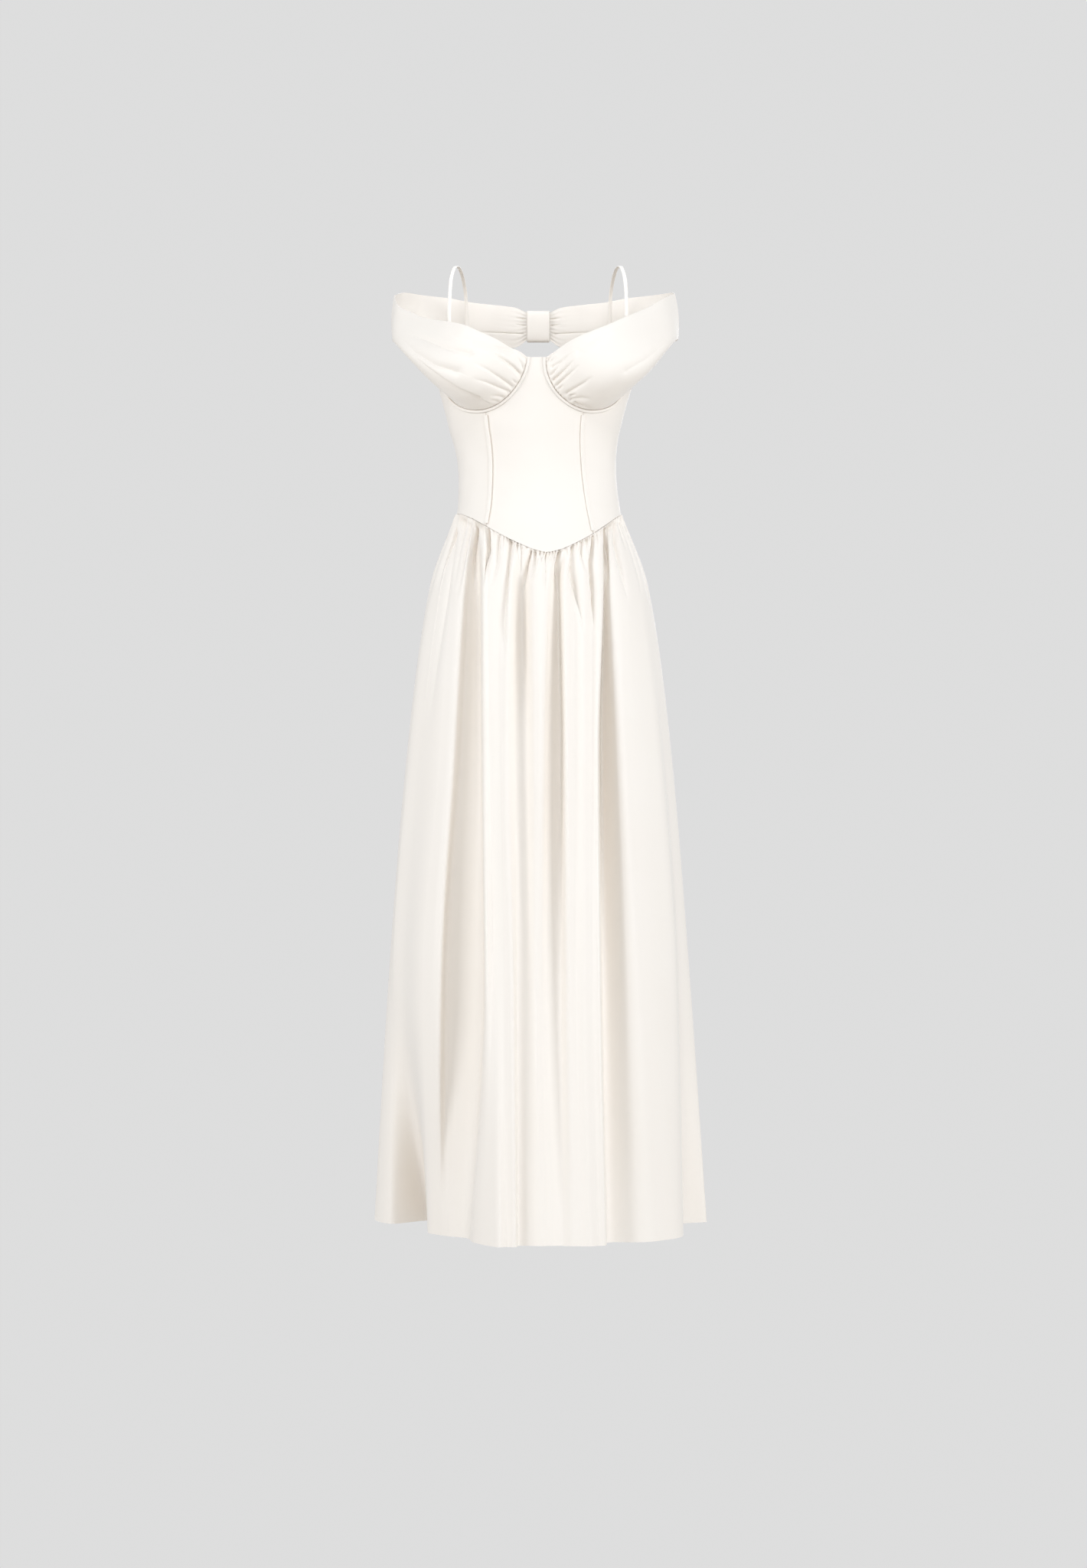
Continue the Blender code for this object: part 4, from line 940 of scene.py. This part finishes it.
def skirt_loops(shares):
    """Points of the folded skirt at the waist seam and at SKIRT's heights, for shares 0 to 2 all round."""
    behind = [(row[0] + 1, *row[1:]) for row in BACK_FOLDS]
    tables = [np.array(rows) for rows in (SIDE_FOLDS_RIGHT, MIDDLE_FOLDS, [*SIDE_FOLDS_LEFT, *behind])]
    loops = []
    for level, height in enumerate(SKIRT["height"]):
        edges = []
        for table in tables:
            place, inset = table[:, 1 + 2 * level], table[:, 2 + 2 * level]
            if table is tables[1]:
                sizes = [SKIRT[k][level] for k in ("half_width", "lean")]
                edge = outline(SKIRT, np.degrees(np.arcsin((place - sizes[1]) / sizes[0])), height)
                edge[:, 1] += inset
            else:
                edge = outline(SKIRT, place, height)
                edge[:, :2] *= (1 - inset / np.linalg.norm(edge[:, :2], axis=1))[:, None]
            edges.append(edge)
        at = np.concatenate([table[:, 0] for table in tables])
        loops.append(flowing(at, np.concatenate(edges), shares, period=2.0))
    turn = shares * 180 - 90
    top = outline(TORSO, turn, waist_height(turn) - SEAM_GAP)
    return [top, *loops]


def even_shares(count):
    """Shares 0 to 2 for the skirt's columns, count to a panel, closer together where the folds turn in."""
    fine = np.linspace(0, 2, 8001)
    knee = skirt_loops(fine)[3]
    run = length_to(knee)
    columns = []
    for panel in (0, 1):
        part = slice(4000 * panel, 4000 * panel + 4001)
        way = (run[part] - run[part][0]) / (run[part][-1] - run[part][0])
        mixed = 0.4 * (fine[part] - panel) + 0.6 * way
        columns.append(np.interp(np.linspace(0, 1, count + 1), mixed, fine[part])[: count + panel])
    return np.concatenate(columns)


def skirt_rows(loops, heights):
    """Each column of the skirt drawn down through its loops, with points at the heights."""
    columns = np.stack(loops, axis=1)
    rows = np.empty((len(heights), columns.shape[0], 3))
    for k, column in enumerate(columns):
        rows[:, k] = smooth(-column[:, 2], column, -heights[:, k])
    return rows


def level_normals(rows, seam):
    """Level outward directions of a closed skirt, from each row's own run round the body."""
    ring = rows[:, :-1]
    out = level_out(np.roll(ring, -1, axis=1) - np.roll(ring, 1, axis=1))
    out = np.concatenate([out, out[:, :1]], axis=1)
    out[0] = seam
    return out


def hidden_gathers(shares, below, first, last, count, seed):
    """Troughs for the stretch of the waist seam that no picture shows, uneven in length, depth and lean."""
    total = np.zeros(below.shape)
    for k in range(count):
        swing = math.sin(k * 2.4 + seed + math.sin(k * 1.1))
        other = math.sin(k * 1.7 + seed * 2)
        place = first + (last - first) * (k + 0.5 + 0.22 * other) / count
        reach = 0.075 + 0.055 * swing
        depth = 0.0052 + 0.0022 * other
        width = 0.0036 + 0.0012 * swing
        away = (shares[None, :] - place - 0.03 * other * below) * PANEL_SPAN
        fade = np.sqrt(np.clip(1 - below / reach, 0, 1))
        total += depth * fade * np.exp(-((np.abs(away) / width) ** 1.5))
    return total


def make_skirt(material):
    shares = even_shares(SKIRT_COLUMNS)
    loops = skirt_loops(shares)
    top = loops[0][:, 2]
    upper = [top + (GATHERED_DOWN_TO - top) * s for s in np.linspace(0, 1, 40) ** 1.4]
    lower = [np.full_like(top, h) for h in np.linspace(GATHERED_DOWN_TO, HEM_HEIGHT, 46)[1:]]
    rows = skirt_rows(loops, np.array(upper + lower))
    turn = shares * 180 - 90
    out = level_normals(rows, torso_normal(turn, top))
    below = rows[:1, :, 2] - rows[..., 2]
    facing = (shares < 1) & (np.abs(turn) < FRONT_REACH)
    shown = trough_depth(rows[..., ::2], SKIRT_TROUGHS, GATHER_FULLNESS) * facing[None, :]
    hidden = sum(hidden_gathers(shares, below, *stretch) for stretch in HIDDEN_GATHERS)
    wave = np.sin(shares * 430 + 5 * np.sin(shares * 47))
    pucker = SKIRT_PUCKER[0] * wave * np.exp(-below / SKIRT_PUCKER[1])
    puff, rise, settle = SKIRT_PUFF
    puff = puff * (1 - np.exp(-below / rise)) * np.exp(-below / settle)
    swell = np.clip(below / 0.004, 0.35, 1)
    outer = rows + out * (puff + pucker - (shown + hidden) * swell)[..., None]
    for first, name in ((0, "skirt_front"), (SKIRT_COLUMNS, "skirt_back")):
        part = slice(first, first + SKIRT_COLUMNS + 1)
        face, way = outer[:, part].copy(), out[:, part].copy()
        for edge, sign in ((0, 1), (-1, -1)):
            face[:, edge] += np.cross(way[:, edge], (0, 0, -1)) * sign * SEAM_GAP * 0.6
        dress(cloth_shell(f"{name}_cloth", face, way), material, name)


# Room, light and camera


def plain_light(name, value):
    material = bpy.data.materials.new(name)
    material.use_nodes = True
    nodes = material.node_tree.nodes
    nodes.remove(nodes["Principled BSDF"])
    glow = nodes.new("ShaderNodeEmission")
    glow.inputs["Color"].default_value = (value, value, value, 1)
    material.node_tree.links.new(glow.outputs["Emission"], nodes["Material Output"].inputs["Surface"])
    return material


def make_room():
    """A plain pale studio: an even grey all round and a floor of the same grey just under the hem."""
    world = bpy.data.worlds.new("studio")
    world.use_nodes = True
    nodes, link = world.node_tree.nodes, world.node_tree.links.new
    seen = nodes["Background"]
    seen.inputs["Color"].default_value = (BACKDROP, BACKDROP, BACKDROP, 1)
    bounced = nodes.new("ShaderNodeBackground")
    bounced.inputs["Color"].default_value = ROOM_LIGHT
    way = nodes.new("ShaderNodeLightPath")
    mix = nodes.new("ShaderNodeMixShader")
    link(way.outputs["Is Camera Ray"], mix.inputs["Fac"])
    link(bounced.outputs["Background"], mix.inputs[1])
    link(seen.outputs["Background"], mix.inputs[2])
    link(mix.outputs["Shader"], nodes["World Output"].inputs["Surface"])
    bpy.context.scene.world = world
    bpy.context.scene.view_settings.view_transform = "Standard"
    bpy.context.scene.view_settings.gamma = PRINT_GAMMA
    mesh = bpy.data.meshes.new("studio_floor")
    size, level = 6.0, HEM_HEIGHT - 0.004
    corners = [(-size, -size, level), (size, -size, level), (size, size, level), (-size, size, level)]
    mesh.from_pydata(corners, [], [(0, 1, 2, 3)])
    mesh.materials.append(plain_light("studio_grey", BACKDROP))
    stand("studio_floor", mesh)


def soft_light(name, place, target, size, power):
    light = bpy.data.lights.new(name, "AREA")
    light.shape = "RECTANGLE"
    light.size, light.size_y = size
    light.energy = power
    light.color = LAMP_COLOUR
    lamp = stand(name, light)
    lamp.location = place
    lamp.visible_camera = False
    lamp.rotation_euler = (Vector(target) - Vector(place)).to_track_quat("-Z", "Y").to_euler()


def make_camera():
    camera = stand("camera", bpy.data.cameras.new("camera"))
    camera.data.sensor_width = 36.0
    camera.data.lens = 18.0 * abs(CAMERA_PLACE[1]) / (FRAME_HEIGHT / 2)
    camera.location = CAMERA_PLACE
    camera.rotation_euler = (math.pi / 2, 0, 0)
    bpy.context.scene.camera = camera


def main():
    make_camera()
    make_room()
    for lamp in LAMPS:
        soft_light(*lamp)
    grain, tone = crepe_grain_group(), cloth_tone_group()
    crepe = crepe_material("ivory crepe", grain, tone, CREPE_LIGHT, CREPE_DEEP, 0.55)
    thread = crepe_material("ivory thread", grain, tone, CREPE_LIGHT, CREPE_LIGHT, 0.4, 0.1)
    panels = make_bodice(crepe)
    make_channels(crepe, thread)
    make_cups(crepe)
    make_back_bands(crepe)
    make_back_loop(crepe)
    make_straps(crepe)
    make_skirt(crepe)


main()
